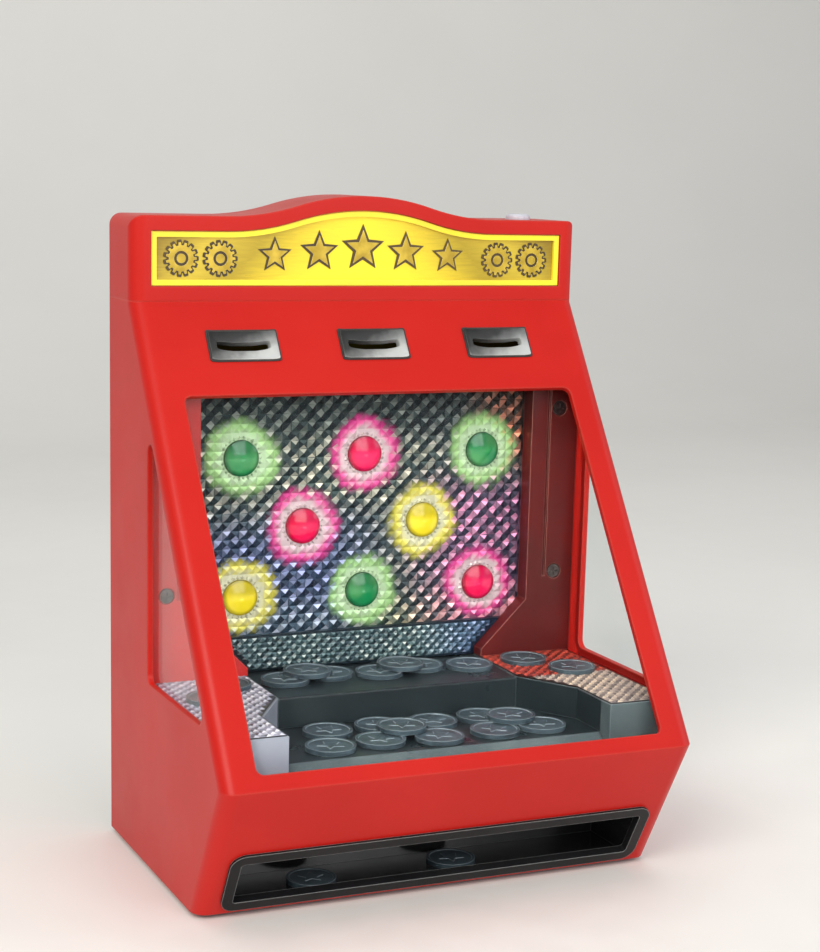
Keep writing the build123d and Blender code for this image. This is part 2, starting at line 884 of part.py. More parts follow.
def frame_screws():
    screws = []
    face_y = backboard_y - frame_depth
    for x, z in frame_screw_places():
        head = rod_y(x, z, screw_head_radius, face_y + 0.1, face_y + screw_head_height)
        head -= box((x - 2, x + 2), (face_y, face_y + 0.8), (z - 0.35, z + 0.35))
        head -= box((x - 0.35, x + 0.35), (face_y, face_y + 0.8), (z - 2, z + 2))
        shank = rod_y(x, z, screw_radius, face_y + 1, face_y + frame_depth - 2)
        screws.append(head + shank)
    return grouped(screws)


def playfield_bed():
    """Fixed floor under the shelf, with a ramp over its front edge."""
    half = inner_x - seat_gap
    front, rear = nose_y + bed_front, nose_y + bed_back
    plate = box((-half, half), (front, rear), (bed_under, bed_height))
    ramp_y = front - ramp_run
    ramp_points = [
        (ramp_y, bed_height - ramp_drop), (front, bed_height), (front + 2, bed_height),
        (front + 2, bed_under), (front, bed_under), (ramp_y, bed_under - ramp_drop),
    ]
    ramp_half = ledge_inner_x - seat_gap
    return plate + prism_x(ramp_points, -ramp_half, ramp_half)


def ledge_front_y():
    """Front face of the side ledges, just clear of the window pane."""
    return slope_y(ledge_height, wall + pane) + 0.8


def ledge_face(inset=0.0):
    """Plan outline of the right side ledge, with its wing beside the shelf."""
    outer = inner_x - seat_gap - inset
    rear = backboard_y - seat_gap - inset
    wing_x = shelf_half_width + slide_gap + inset
    return polygon([
        (ledge_inner_x + inset, ledge_front_y() + inset),
        (ledge_inner_x + inset, nose_y + wing_front + inset),
        (wing_x, shelf_y + inset),
        (wing_x, rear),
        (outer, rear),
        (outer, ledge_front_y() + inset),
    ])


def side_ledge_right():
    """Raised side floor, hooked over the front edge of the bed."""
    ledge = prism_z(ledge_face(), bed_height, ledge_height - foil)
    hook = box(
        (ledge_inner_x, inner_x - seat_gap),
        (ledge_front_y(), nose_y + bed_front - seat_gap),
        (bed_height - ramp_drop, bed_height + 1),
    )
    return ledge + hook


def ledge_foils():
    right = prism_z(ledge_face(0.6), ledge_height - foil, ledge_height)
    return grouped([right, mirrored(right)])


def pusher_shelf():
    """Sliding shelf, hollow underneath, that runs on the bed."""
    half = shelf_half_width
    low = bed_height + slide_gap
    shelf = box((-half, half), (shelf_y, shelf_rear), (low, shelf_height))
    nose_edge = [
        edge for edge in shelf.edges()
        if abs(edge.center().Y - shelf_y) < 0.01 and abs(edge.center().Z - shelf_height) < 0.01
    ]
    shelf = fillet(nose_edge, 0.8)
    shelf -= box(
        (-half + shelf_wall, half - shelf_wall),
        (shelf_y + shelf_wall, shelf_rear - shelf_wall),
        (low - 1, shelf_height - shelf_wall),
    )
    return shelf


def pusher_yoke():
    """Slotted plate behind the shelf that the crank pin moves."""
    slot_half = crank_pin_radius + yoke_play
    rear = pin_rest_y + slot_half + yoke_web
    high = yoke_low + yoke_thickness
    yoke = box((-yoke_half_width, yoke_half_width), (shelf_rear, rear), (yoke_low, high))
    slot_length = crank_radius + crank_pin_radius + 1.4
    return yoke - box(
        (-slot_length, slot_length),
        (pin_rest_y - slot_half, pin_rest_y + slot_half),
        (yoke_low - 1, high + 1),
    )


# --------------------------------------------------------------------- mechanism
def gear_face(teeth, phase):
    """Straight-sided gear outline with a little backlash."""
    pitch_radius = gear_module * teeth / 2
    half = (pi * gear_module / 2 - gear_backlash) / 2
    tip_radius = pitch_radius + tooth_tip * gear_module
    root_radius = pitch_radius - tooth_root * gear_module
    tip_half = (half - tooth_tip * gear_module * 0.4) / tip_radius
    root_half = (half + tooth_root * gear_module * 0.28) / root_radius
    return toothed_outline(teeth, root_radius, tip_radius, root_half, tip_half, phase)


def crank_gear():
    """Gear on the fixed axle, with the pin that drives the yoke."""
    gear_top = gear_low + gear_thickness
    gear = prism_z(gear_face(crank_teeth, 0), gear_low, gear_top)
    pin_top = yoke_low + yoke_thickness + 0.6
    gear += rod_z(0, -crank_radius, crank_pin_radius, gear_top - 0.5, pin_top)
    gear -= rod_z(0, 0, axle_radius + pin_gap, gear_low - 1, gear_top + 1)
    return Pos(0, crank_y, 0) * gear


def crank_axle():
    """Fixed steel axle with its retaining clip."""
    gear_top = gear_low + gear_thickness
    axle = rod_z(0, crank_y, axle_radius, deck_top, gear_top + 1.6)
    clip = rod_z(0, crank_y, axle_radius + 1.2, gear_top + 0.3, gear_top + 1.1)
    return axle + clip


def motor_pinion():
    """Pinion moulded on the gear motor's output shaft."""
    face = gear_face(pinion_teeth, pi / pinion_teeth)
    pinion = prism_z(face, gear_low, gear_low + gear_thickness)
    shaft = rod_z(0, 0, motor_shaft_radius, deck_height + 0.2, gear_low + 0.5)
    return Pos(pinion_x, crank_y, 0) * (pinion + shaft)


def deck_leg_places():
    return [(x, crank_y + y) for x in (pinion_x - 24, 20.0) for y in (-16.5, 9.5)]


def mechanism_deck():
    """Plate on four legs that carries the gear motor and the crank axle."""
    legs = deck_leg_places()
    x_values = [x for x, y in legs]
    y_values = [y for x, y in legs]
    deck = box(
        (min(x_values) - deck_leg_radius, max(x_values) + deck_leg_radius),
        (min(y_values) - deck_leg_radius, max(y_values) + deck_leg_radius),
        (deck_height, deck_top),
    )
    for x, y in legs:
        deck += rod_z(x, y, deck_leg_radius, floor_z, deck_height + 0.5)
    return deck - rod_z(pinion_x, crank_y, motor_shaft_radius + 0.7, deck_height - 1, deck_top + 1)


def gearmotor_case():
    size_x, size_y, size_z = gearcase
    case = box(
        (pinion_x - size_x / 2, pinion_x + size_x / 2),
        (crank_y - size_y / 2, crank_y + size_y / 2),
        (deck_height - size_z, deck_height),
    )
    return fillet(case.edges().filter_by(Axis.Z), 3.0)


def motor_can():
    top = deck_height - gearcase[2]
    can = rod_z(pinion_x, crank_y, motor_radius, top - motor_length + 2, top)
    return can + rod_z(pinion_x, crank_y, 3.0, top - motor_length, top - motor_length + 2.5)


# ------------------------------------------------------------- electrical pieces
def main_board_y():
    return nose_y + main_board_from_nose


def standoff_places():
    size_x, size_y = main_board_size
    half_x, half_y = size_x / 2 - 4, size_y / 2 - 4
    return [(main_board_x + i * half_x, main_board_y() + j * half_y) for i in (-1, 1) for j in (-1, 1)]


def main_board():
    size_x, size_y = main_board_size
    low = floor_z + standoff_height
    return box(
        (main_board_x - size_x / 2, main_board_x + size_x / 2),
        (main_board_y() - size_y / 2, main_board_y() + size_y / 2),
        (low, low + board_thickness),
    )


def board_parts():
    """Chip, capacitors and wire sockets on the main board."""
    low = floor_z + standoff_height + board_thickness
    x, y = main_board_x, main_board_y()
    pieces = [box((x - 7, x + 7), (y - 6, y + 8), (low, low + 1.8))]
    pieces += [rod_z(x - 11, y - 14 + 9 * index, 3.2, low, low + 8) for index in range(2)]
    for index in range(3):
        socket_y = y - 22 + 13 * index
        pieces.append(box((x + 8, x + 14), (socket_y, socket_y + 8), (low, low + 6)))
    return grouped(pieces)


def nudge_sensor():
    """Small tilt switch standing on the main board."""
    low = floor_z + standoff_height + board_thickness
    can = rod_z(main_board_x - 8, main_board_y() + 18, 4.0, low, low + 11)
    return fillet(can.edges().filter_by(GeomType.CIRCLE).sort_by(Axis.Z)[-1], 1.0)


def speaker_basket():
    """Round speaker frame and cone against the inside of the back cover."""
    rim = rod_y(speaker_x, speaker_z, speaker_radius, cover_y - speaker_rim, cover_y)
    rim -= rod_y(speaker_x, speaker_z, speaker_radius - 2.5, cover_y - speaker_rim + 1.6, cover_y + 1)
    low = cover_y - speaker_rim - 3
    return rim + rod_y(speaker_x, speaker_z, magnet_radius + 3, low, cover_y - speaker_rim + 0.5)


def speaker_magnet():
    high = cover_y - speaker_rim - 3
    return rod_y(speaker_x, speaker_z, magnet_radius, high - magnet_depth, high)


def power_switch_body():
    size_x, size_z, size_y = switch_can
    high = back_y - switch_pocket[2] - 1.6
    return box(
        (switch_x - size_x / 2, switch_x + size_x / 2),
        (high - size_y, high),
        (switch_z - size_z / 2, switch_z + size_z / 2),
    )


def power_switch_slider():
    """Ribbed thumb piece in the sunk pocket, with its stem through the cover."""
    floor_y = back_y - switch_pocket[2]
    start = switch_x - switch_travel / 2
    low = floor_y - 1.6 + 0.1
    knob = box((start - 3.4, start + 3.4), (floor_y + 0.2, back_y - 0.8), (switch_z - 3.6, switch_z + 3.6))
    for index in range(3):
        x = start - 2 + 2 * index
        knob -= box((x - 0.4, x + 0.4), (back_y - 1.3, back_y), (switch_z - 4, switch_z + 4))
    return knob + box((start - 3, start + 3), (low, floor_y + 0.5), (switch_z - 1.5, switch_z + 1.5))


# --------------------------------------------------------------------- coin tray
def tray_opening(growth, low, high):
    """Rounded block on the undercut front, grown round the tray's mouth."""
    scale = undercut_length / undercut_rise
    height = (tray_high - tray_low) * scale
    middle = ((tray_high + tray_low) / 2 - base_z) * scale
    size = (2 * (tray_half_width + growth), height + 2 * growth)
    return panel_block(undercut_plane, size, tray_radius + growth, (0, middle), low, high)


def tray_bezel():
    """Raised rim round the tray's mouth."""
    rim = tray_opening(tray_rim, 0, tray_rim_rise) + tray_opening(-seat_gap, -wall, tray_rim_rise / 2)
    return rim - tray_opening(-seat_gap - 1.2, -wall - 1, tray_rim_rise + 1)


def coin_tray():
    """Catch tray behind the mouth, open in front and above its front strip."""
    half = tray_half_width + tray_wall
    rear = nose_y + tray_back
    inset = wall + seat_gap
    top = tray_high + 1.4 + tray_wall
    front_points = [(undercut_y(z, inset), z) for z in (floor_z, top)]
    outer = prism_x(front_points + [(rear, top), (rear, floor_z)], -half, half)
    inner_low = floor_z + tray_wall
    inner_top = top - tray_wall
    outer -= prism_x(
        [
            (undercut_y(inner_low, 0), inner_low), (undercut_y(inner_top, 0), inner_top),
            (rear - tray_wall, inner_top), (rear - tray_wall, inner_low),
        ],
        -tray_half_width, tray_half_width,
    )
    throat_rear = undercut_y(top, inset) + chute_throat
    throat = box((-throat_half(), throat_half()), (nose_y, throat_rear), (inner_top - 1, top + 1))
    return outer - throat


def throat_half():
    return ledge_inner_x - 1.0


def win_chute():
    """Leaning plate and cheeks that lead won coins from the ramp to the tray."""
    tray_top = tray_high + 1.4 + tray_wall
    low_y = undercut_y(tray_top, wall + seat_gap) + chute_throat
    high_y = nose_y + bed_front - ramp_run + 0.5
    high_z = bed_under - ramp_drop - seat_gap
    low_z = tray_top + seat_gap
    half = throat_half()
    thick = 1.6
    rear_points = [(high_y + thick, high_z), (low_y + thick, low_z)]
    plate = prism_x([(low_y, low_z), (high_y, high_z)] + rear_points, -half, half)
    inset = wall + seat_gap
    front_points = [(undercut_y(z, inset), z) for z in (low_z, high_z)]
    cheek_points = front_points + rear_points
    right = prism_x(cheek_points, half, half + thick)
    return joined([plate, right, mirrored(right)])


# ------------------------------------------------------------------------- coins
def coin():
    """Flat round token with a raised rim and a star on both faces."""
    blank = Cylinder(coin_radius, coin_thickness)
    sunk = 0.25
    ring = Circle(coin_radius - 1.2)
    points = []
    for corner in range(10):
        radius = 0.55 * coin_radius if corner % 2 == 0 else 0.24 * coin_radius
        angle = pi / 2 + corner * pi / 5
        points.append((radius * cos(angle), radius * sin(angle)))
    field = ring - polygon(points)
    top = coin_thickness / 2
    blank -= prism_z(field, top - sunk, top + 1)
    return blank - prism_z(field, -top - 1, -top + sunk)


# Each resting coin: sideways place in coin pitches, distance from the nose,
# layer and turn.
bed_coin_places = [
    (-2.1, 36, 0, 12), (-1.05, 38, 0, 40), (0.1, 35, 0, 5), (1.3, 36, 0, 64),
    (2.33, 37, 0, 20), (-1.76, 57, 0, 33), (-0.67, 58, 0, 8), (0.43, 56, 0, 51),
    (1.48, 57, 0, 27), (-0.43, 47, 1, 15), (1.9, 47, 1, 58),
]
shelf_coin_places = [
    (-2, 92, 0, 10), (-1, 96, 0, 36), (0, 91.5, 0, 21), (1, 96.5, 0, 49), (2, 91, 0, 3),
    (-1.48, 95, 1, 60), (0.52, 94, 1, 14),
]
ledge_coin_places = [(3.86, 71, 0, 30), (3.24, 91, 0, 5), (-3.24, 90, 0, 44), (-3.81, 72, 0, 17)]
tray_coin_places = [(0.67, 46, 0, 25), (-2.29, 44, 0, 60)]


def coin_pile(places, surface, half_width):
    """Coins lying flat on a surface, leaving out any that would pass its sides."""
    pieces = []
    for pitches, from_nose, layer, turn in places:
        x = pitches * coin_pitch
        if abs(x) + coin_radius < half_width:
            z = surface + coin_gap + coin_thickness / 2 + layer * (coin_thickness + coin_gap)
            pieces.append(Pos(x, nose_y + from_nose, z) * Rot(0, 0, turn) * coin())
    return pieces


def loose_coins():
    """Coins on the side ledges and in the tray."""
    pieces = coin_pile(ledge_coin_places, ledge_height, inner_x)
    pieces += coin_pile(tray_coin_places, floor_z + tray_wall, tray_half_width)
    return grouped(pieces)


# -------------------------------------------------------------------------- main
def build_nodes():
    """All nodes of the machine, by name."""
    shell = cabinet_shell()
    pane_right = side_window_right()
    frame_right = inner_frame_right()
    ledge_right = side_ledge_right()
    return {
        "cabinet_body": cabinet_body(shell),
        "header_shell": header_shell(shell),
        "back_cover": back_cover(),
        "back_screws": back_screws(),
        "base_plate": base_plate(),
        "base_screws": base_screws(),
        "rubber_feet": rubber_feet(),
        "front_window": front_window(),
        "side_window_left": mirrored(pane_right),
        "side_window_right": pane_right,
        "slot_bezel_left": slot_bezel(-1),
        "slot_bezel_centre": slot_bezel(0),
        "slot_bezel_right": slot_bezel(1),
        "slot_chutes": slot_chutes(),
        "marquee_panel": marquee_panel(),
        "marquee_border": marquee_border(),
        "marquee_cogs": marquee_cogs(),
        "marquee_stars": marquee_stars(),
        "start_button": start_button(),
        "start_switch": start_switch(),
        "backboard": backboard(),
        "lenses_green": lenses("green"),
        "lenses_red": lenses("red"),
        "lenses_yellow": lenses("yellow"),
        "led_lamps": led_lamps(),
        "led_board": led_board(),
        "pusher_skirt": pusher_skirt(),
        "inner_frame_left": mirrored(frame_right),
        "inner_frame_right": frame_right,
        "frame_screws": frame_screws(),
        "playfield_bed": playfield_bed(),
        "side_ledge_left": mirrored(ledge_right),
        "side_ledge_right": ledge_right,
        "ledge_foils": ledge_foils(),
        "pusher_shelf": pusher_shelf(),
        "pusher_yoke": pusher_yoke(),
        "crank_gear": crank_gear(),
        "crank_axle": crank_axle(),
        "motor_pinion": motor_pinion(),
        "mechanism_deck": mechanism_deck(),
        "gearmotor_case": gearmotor_case(),
        "motor_can": motor_can(),
        "battery_box": battery_box(),
        "battery_cells": battery_cells(),
        "battery_contacts": battery_contacts(),
        "battery_door": battery_door(),
        "speaker_basket": speaker_basket(),
        "speaker_magnet": speaker_magnet(),
        "main_board": main_board(),
        "board_parts": board_parts(),
        "nudge_sensor": nudge_sensor(),
        "power_switch_body": power_switch_body(),
        "power_switch_slider": power_switch_slider(),
        "coin_tray": coin_tray(),
        "tray_bezel": tray_bezel(),
        "win_chute": win_chute(),
        "coins_on_shelf": grouped(coin_pile(shelf_coin_places, shelf_height, shelf_half_width)),
        "coins_on_bed": grouped(coin_pile(bed_coin_places, bed_height, ledge_inner_x)),
        "loose_coins": loose_coins(),
    }


if __name__ == "__main__":
    os.makedirs("parts", exist_ok=True)
    for name, shape in build_nodes().items():
        export_step(shape, f"parts/{name}.step")
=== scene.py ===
"""Looks of a toy coin pusher machine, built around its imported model.

Every length is in metres, in the model's own frame: X to the player's right,
Y to the back and Z up, with the origin on the table under the cabinet.
"""

import sys

import json
import logging
import math
from dataclasses import dataclass
from enum import Enum
from typing import Iterable, Sequence

import bpy
from mathutils import Matrix, Vector

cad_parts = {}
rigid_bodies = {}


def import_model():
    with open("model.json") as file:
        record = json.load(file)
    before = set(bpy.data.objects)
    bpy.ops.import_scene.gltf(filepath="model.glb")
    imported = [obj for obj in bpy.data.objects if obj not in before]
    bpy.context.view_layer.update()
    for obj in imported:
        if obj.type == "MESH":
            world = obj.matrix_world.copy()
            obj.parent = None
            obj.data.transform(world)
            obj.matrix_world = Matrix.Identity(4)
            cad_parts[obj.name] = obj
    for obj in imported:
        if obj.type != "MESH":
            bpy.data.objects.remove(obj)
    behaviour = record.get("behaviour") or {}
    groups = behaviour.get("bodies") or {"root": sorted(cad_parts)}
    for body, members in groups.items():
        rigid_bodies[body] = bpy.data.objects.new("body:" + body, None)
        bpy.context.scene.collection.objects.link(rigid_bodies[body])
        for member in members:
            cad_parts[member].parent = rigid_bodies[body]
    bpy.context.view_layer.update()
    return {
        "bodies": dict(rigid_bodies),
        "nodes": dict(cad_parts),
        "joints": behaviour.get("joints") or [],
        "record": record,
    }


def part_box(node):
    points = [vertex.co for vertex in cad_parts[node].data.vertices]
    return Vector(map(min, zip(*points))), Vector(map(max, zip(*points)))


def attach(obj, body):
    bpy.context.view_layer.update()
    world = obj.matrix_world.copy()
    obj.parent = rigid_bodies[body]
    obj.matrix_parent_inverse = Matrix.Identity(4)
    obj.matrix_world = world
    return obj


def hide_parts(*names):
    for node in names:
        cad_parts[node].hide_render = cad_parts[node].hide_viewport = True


LOG = logging.getLogger("coin_pusher")
MM = 0.001

Colour = tuple[float, float, float]
Place = tuple[float, float, float]
Wash = tuple[Place, Place, Colour]
Stops = Sequence[tuple[float, Colour]]
Socket = bpy.types.NodeSocket
Node = bpy.types.Node
Material = bpy.types.Material
Piece = bpy.types.Object


def solid(colour: Colour) -> tuple[float, float, float, float]:
    """The colour with full alpha."""
    return (*colour, 1.0)


class Light(Enum):
    """Colours of the panel lights: name, lens, painted glow on the foil near the lens, edge of the
    glow.
    """

    GREEN = ("green", (0.004, 0.17, 0.05), (0.46, 0.62, 0.38), (0.32, 0.56, 0.20))
    RED = ("red", (0.66, 0.002, 0.05), (0.66, 0.50, 0.52), (0.72, 0.03, 0.26))
    YELLOW = ("yellow", (0.66, 0.52, 0.010), (0.64, 0.62, 0.42), (0.74, 0.66, 0.07))

    def __init__(self, word: str, lens: Colour, near: Colour, far: Colour) -> None:
        """Names the colours.

        Args:
            word: the colour's name.
            lens: colour of the lens.
            near: colour of the painted glow on the foil beside the lens.
            far: colour at the edge of the glow.
        """
        self.word, self.lens, self.near, self.far = word, lens, near, far


@dataclass(frozen=True)
class LightPanel:
    """Where the lights sit on the backboard, in three rows from the top."""

    face_y: float = 38.0 * MM
    pitch: float = 55.0 * MM
    rows: tuple[float, float, float] = (166.0 * MM, 136.5 * MM, 107.5 * MM)
    lens_radius: float = 7.4 * MM
    glow_radius: float = 17.5 * MM

    @property
    def spots(self) -> list[tuple[float, float, Light]]:
        """Where each light is.

        Returns:
            Each light's x, z and colour.
        """
        top, middle, low = self.rows
        p, half = self.pitch, self.pitch / 2
        return [
            (-p, top, Light.GREEN), (0.0, top, Light.RED), (p, top, Light.GREEN),
            (-half, middle, Light.RED), (half, middle, Light.YELLOW),
            (-p, low, Light.YELLOW), (0.0, low, Light.GREEN), (p, low, Light.RED),
        ]


# ------------------------------------------------------------------ node trees
class Web:
    """Adds nodes to one tree and joins them."""

    def __init__(self, tree: bpy.types.NodeTree) -> None:
        """Args: tree: the tree to build in."""
        self.tree = tree

    def feed(self, node: Node, key: str | int, value: object) -> None:
        """Gives an input a value, or joins a socket to it.

        Args:
            node: the node that has the input.
            key: the input's name or index.
            value: a plain value or an output socket.
        """
        if isinstance(value, Socket):
            self.tree.links.new(value, node.inputs[key])
        else:
            node.inputs[key].default_value = value

    def add(self, kind: str, settings: dict | None = None, inputs: dict | None = None) -> Node:
        """Adds one node.

        Args:
            kind: the node's type.
            settings: its attributes.
            inputs: its inputs, each a plain value or an output socket.

        Returns:
            The new node.
        """
        node = self.tree.nodes.new(kind)
        for key, value in (settings or {}).items():
            setattr(node, key, value)
        for key, value in (inputs or {}).items():
            self.feed(node, key, value)
        return node

    def maths(self, operation: str, *values: object) -> Socket:
        """One Math node's result for up to three values."""
        settings = {"operation": operation}
        return self.add("ShaderNodeMath", settings, dict(enumerate(values))).outputs[0]

    def vector(self, operation: str, *values: object, output: int = 0) -> Socket:
        """One Vector Math node's result: 0 for its vector, 1 for its value."""
        settings = {"operation": operation}
        return self.add("ShaderNodeVectorMath", settings, dict(enumerate(values))).outputs[output]

    def distance(self, a: object, b: object) -> Socket:
        """Distance between two points."""
        return self.vector("DISTANCE", a, b, output=1)

    def apart(self, vector: object) -> Sequence[Socket]:
        """The vector's x, y and z."""
        return self.add("ShaderNodeSeparateXYZ", None, {0: vector}).outputs

    def joined(self, x: object = 0.0, y: object = 0.0, z: object = 0.0) -> Socket:
        """A vector from its x, y and z."""
        return self.add("ShaderNodeCombineXYZ", None, {0: x, 1: y, 2: z}).outputs[0]

    def blend(self, factor: object, a: object, b: object, mode: str = "MIX") -> Socket:
        """Mixes two colours.

        Args:
            factor: share of the second colour.
            a: first colour.
            b: second colour.
            mode: how they mix.

        Returns:
            The mixed colour's socket.
        """
        settings = {"data_type": "RGBA", "blend_type": mode}
        return self.add("ShaderNodeMix", settings, {0: factor, 6: a, 7: b}).outputs[2]

    def tint(self, colour: object, by: Colour) -> Socket:
        """The colour multiplied by another."""
        return self.blend(1.0, colour, solid(by), "MULTIPLY")

    def spread(self, value: object, low: float, high: float, to_low: object, to_high: object,
               smooth: bool = False) -> Socket:
        """Maps a value from one range to another, held inside it.

        Args:
            value: the value to map.
            low: where the first range starts.
            high: where the first range ends.
            to_low: result at low.
            to_high: result at high.
            smooth: whether the change eases in and out.

        Returns:
            The mapped value's socket.
        """
        settings = {"interpolation_type": "SMOOTHSTEP" if smooth else "LINEAR"}
        inputs = {0: value, 1: low, 2: high, 3: to_low, 4: to_high}
        return self.add("ShaderNodeMapRange", settings, inputs).outputs[0]

    def ramp(self, value: object, stops: Stops) -> Socket:
        """Turns a value into a colour.

        Args:
            value: the value.
            stops: place and colour of each stop.

        Returns:
            The colour's socket.
        """
        node = self.add("ShaderNodeValToRGB", None, {0: value})
        elements = node.color_ramp.elements
        while len(elements) < len(stops):
            elements.new(0.5)
        for element, (at, colour) in zip(elements, stops):
            element.position = at
            element.color = solid(colour)
        return node.outputs[0]

    def wash(self, colour: object, place: object, washes: Sequence[Wash]) -> object:
        """Tints a colour more and more across the model.

        Args:
            colour: the colour to tint.
            place: Object coordinates.
            washes: where each tint starts, where it is full, and the tint.

        Returns:
            The tinted colour.
        """
        for low, high, by in washes:
            share: object = 1.0
            for axis, part in enumerate(self.apart(place)):
                if low[axis] != high[axis]:
                    step = self.spread(part, low[axis], high[axis], 0.0, 1.0, True)
                    share = self.maths("MULTIPLY", share, step)
            colour = self.blend(share, colour, self.tint(colour, by))
        return colour

    def noise(self, vector: object, scale: object, detail: float = 3.0) -> Socket:
        """A noise value between 0 and 1."""
        inputs = {"Vector": vector, "Scale": scale, "Detail": detail}
        return self.add("ShaderNodeTexNoise", None, inputs).outputs[0]


class EffectGroups:
    """Effects shared by the materials, each a node group built once."""

    def __init__(self) -> None:
        """Builds every group."""
        self.mottle = self._mottle()
        self.grain = self._grain()
        self.soft_edge = self._soft_edge()

    @staticmethod
    def _group(name: str, inputs: Sequence[tuple],
               outputs: Sequence[tuple]) -> tuple[Web, Sequence[Socket], Node]:
        """An empty group with its sockets.

        Args:
            name: the group's name.
            inputs: name, kind and default value of each input.
            outputs: name and kind of each output.

        Returns:
            The web to build in, the inputs' sockets by name, and the node that
            takes the outputs.
        """
        tree = bpy.data.node_groups.new(name, "ShaderNodeTree")
        face = tree.interface
        for label, kind, default in inputs:
            socket = face.new_socket(label, in_out="INPUT", socket_type="NodeSocket" + kind)
            if default is not None:
                socket.default_value = default
        for label, kind in outputs:
            face.new_socket(label, in_out="OUTPUT", socket_type="NodeSocket" + kind)
        web = Web(tree)
        return web, web.add("NodeGroupInput").outputs, web.add("NodeGroupOutput")

    def _mottle(self) -> bpy.types.NodeTree:
        """Slow colour drift, pale dust specks and a matching gloss change.

        Returns:
            The group.
        """
        web, given, result = self._group(
            "mottle",
            [("Vector", "Vector", None), ("Base", "Color", solid((0.5, 0.5, 0.5))),
             ("Shade", "Color", solid((0.4, 0.4, 0.4))), ("Patch Scale", "Float", 30.0),
             ("Dust", "Float", 0.05), ("Gloss", "Float", 0.2), ("Dull", "Float", 0.4)],
            [("Color", "Color"), ("Roughness", "Float")],
        )
        place = given["Vector"]
        patch = web.noise(place, given["Patch Scale"], 4.0)
        patch = web.spread(patch, 0.3, 0.7, 0.0, 1.0, True)
        colour = web.blend(patch, given["Base"], given["Shade"])
        specks = web.spread(web.noise(place, 2400.0, 2.0), 0.62, 0.78, 0.0, 1.0)
        dust = web.maths("MULTIPLY", specks, given["Dust"])
        web.feed(result, "Color", web.blend(dust, colour, solid((0.82, 0.80, 0.76))))
        smears = web.noise(place, 45.0, 4.0)
        rough = web.spread(smears, 0.3, 0.7, given["Gloss"], given["Dull"], True)
        web.feed(result, "Roughness", rough)
        return web.tree

    def _grain(self) -> bpy.types.NodeTree:
        """Fine moulded texture with a few hairline scratches, as a height.

        Returns:
            The group.
        """
        web, given, result = self._group(
            "moulded_grain",
            [("Vector", "Vector", None), ("Grain Scale", "Float", 1500.0),
             ("Scratches", "Float", 0.3)],
            [("Height", "Float")],
        )
        fine = web.noise(given["Vector"], given["Grain Scale"], 2.0)
        streak = web.noise(web.vector("MULTIPLY", given["Vector"], (9.0, 1.0, 0.6)), 420.0, 1.0)
        cut = web.maths("MULTIPLY", web.spread(streak, 0.74, 0.80, 0.0, 1.0), given["Scratches"])
        web.feed(result, "Height", web.maths("SUBTRACT", fine, cut))
        return web.tree

    def _soft_edge(self) -> bpy.types.NodeTree:
        """Rounded edge normal and a mask of where the edges are.

        Returns:
            The group.
        """
        web, given, result = self._group(
            "soft_edge", [("Radius", "Float", 0.6 * MM)], [("Normal", "Vector"), ("Edge", "Float")],
        )
        bevel = web.add("ShaderNodeBevel", {"samples": 4}, {"Radius": given["Radius"]})
        flat = web.add("ShaderNodeNewGeometry").outputs["Normal"]
        same = web.vector("DOT_PRODUCT", bevel.outputs[0], flat, output=1)
        web.feed(result, "Normal", bevel.outputs[0])
        web.feed(result, "Edge", web.spread(same, 0.80, 0.97, 1.0, 0.0))
        return web.tree


class Skin:
    """One material while it is made."""

    def __init__(self, name: str, groups: EffectGroups) -> None:
        """Starts the material with one Principled shader.

        Args:
            name: the material's name.
            groups: the shared effects.
        """
        self.material = bpy.data.materials.new(name)
        self.material.use_nodes = True
        self.material.node_tree.nodes.clear()
        self.groups = groups
        self.web = Web(self.material.node_tree)
        self.shader = self.web.add("ShaderNodeBsdfPrincipled")
        surface = {"Surface": self.shader.outputs[0]}
        self.out = self.web.add("ShaderNodeOutputMaterial", None, surface)
        self.place = self.web.add("ShaderNodeTexCoord").outputs["Object"]

    def give(self, values: dict) -> None:
        """Gives the shader's inputs their values or sockets."""
        for key, value in values.items():
            self.web.feed(self.shader, key, value)

    def effect(self, tree: bpy.types.NodeTree, inputs: dict) -> Node:
        """Places one shared group.

        Args:
            tree: the group.
            inputs: its values; its Vector is the Object coordinates.

        Returns:
            The group's node.
        """
        node = self.web.add("ShaderNodeGroup", {"node_tree": tree}, inputs)
        if "Vector" in node.inputs:
            self.web.feed(node, "Vector", self.place)
        return node

    def edges(self, colour: object, radius: float, edge: Colour,
              share: float) -> tuple[Socket, Socket]:
        """Lightens the colour along rounded edges as a painted highlight.

        Args:
            colour: the colour so far.
            radius: how round the edges are.
            edge: the colour of the painted highlight along the edges.
            share: how much of it shows.

        Returns:
            The new colour and the rounded normal.
        """
        soft = self.effect(self.groups.soft_edge, {"Radius": radius})
        part = self.web.maths("MULTIPLY", soft.outputs["Edge"], share)
        return self.web.blend(part, colour, solid(edge)), soft.outputs["Normal"]

    def relief(self, scale: float, scratches: float, depth: float, strength: float = 1.0,
               normal: Socket | None = None) -> None:
        """Bumps the surface with the moulded grain.

        Args:
            scale: how fine the grain is.
            scratches: how deep its scratches are, beside the grain.
            depth: the grain's height.
            strength: how much of it shows.
            normal: the normal to start from.
        """
        grain = self.effect(self.groups.grain, {"Grain Scale": scale, "Scratches": scratches})
        bump = self.web.add("ShaderNodeBump", None, {
            "Strength": strength, "Distance": depth, "Height": grain.outputs["Height"],
        })
        if normal:
            self.web.feed(bump, "Normal", normal)
        self.give({"Normal": bump.outputs[0]})


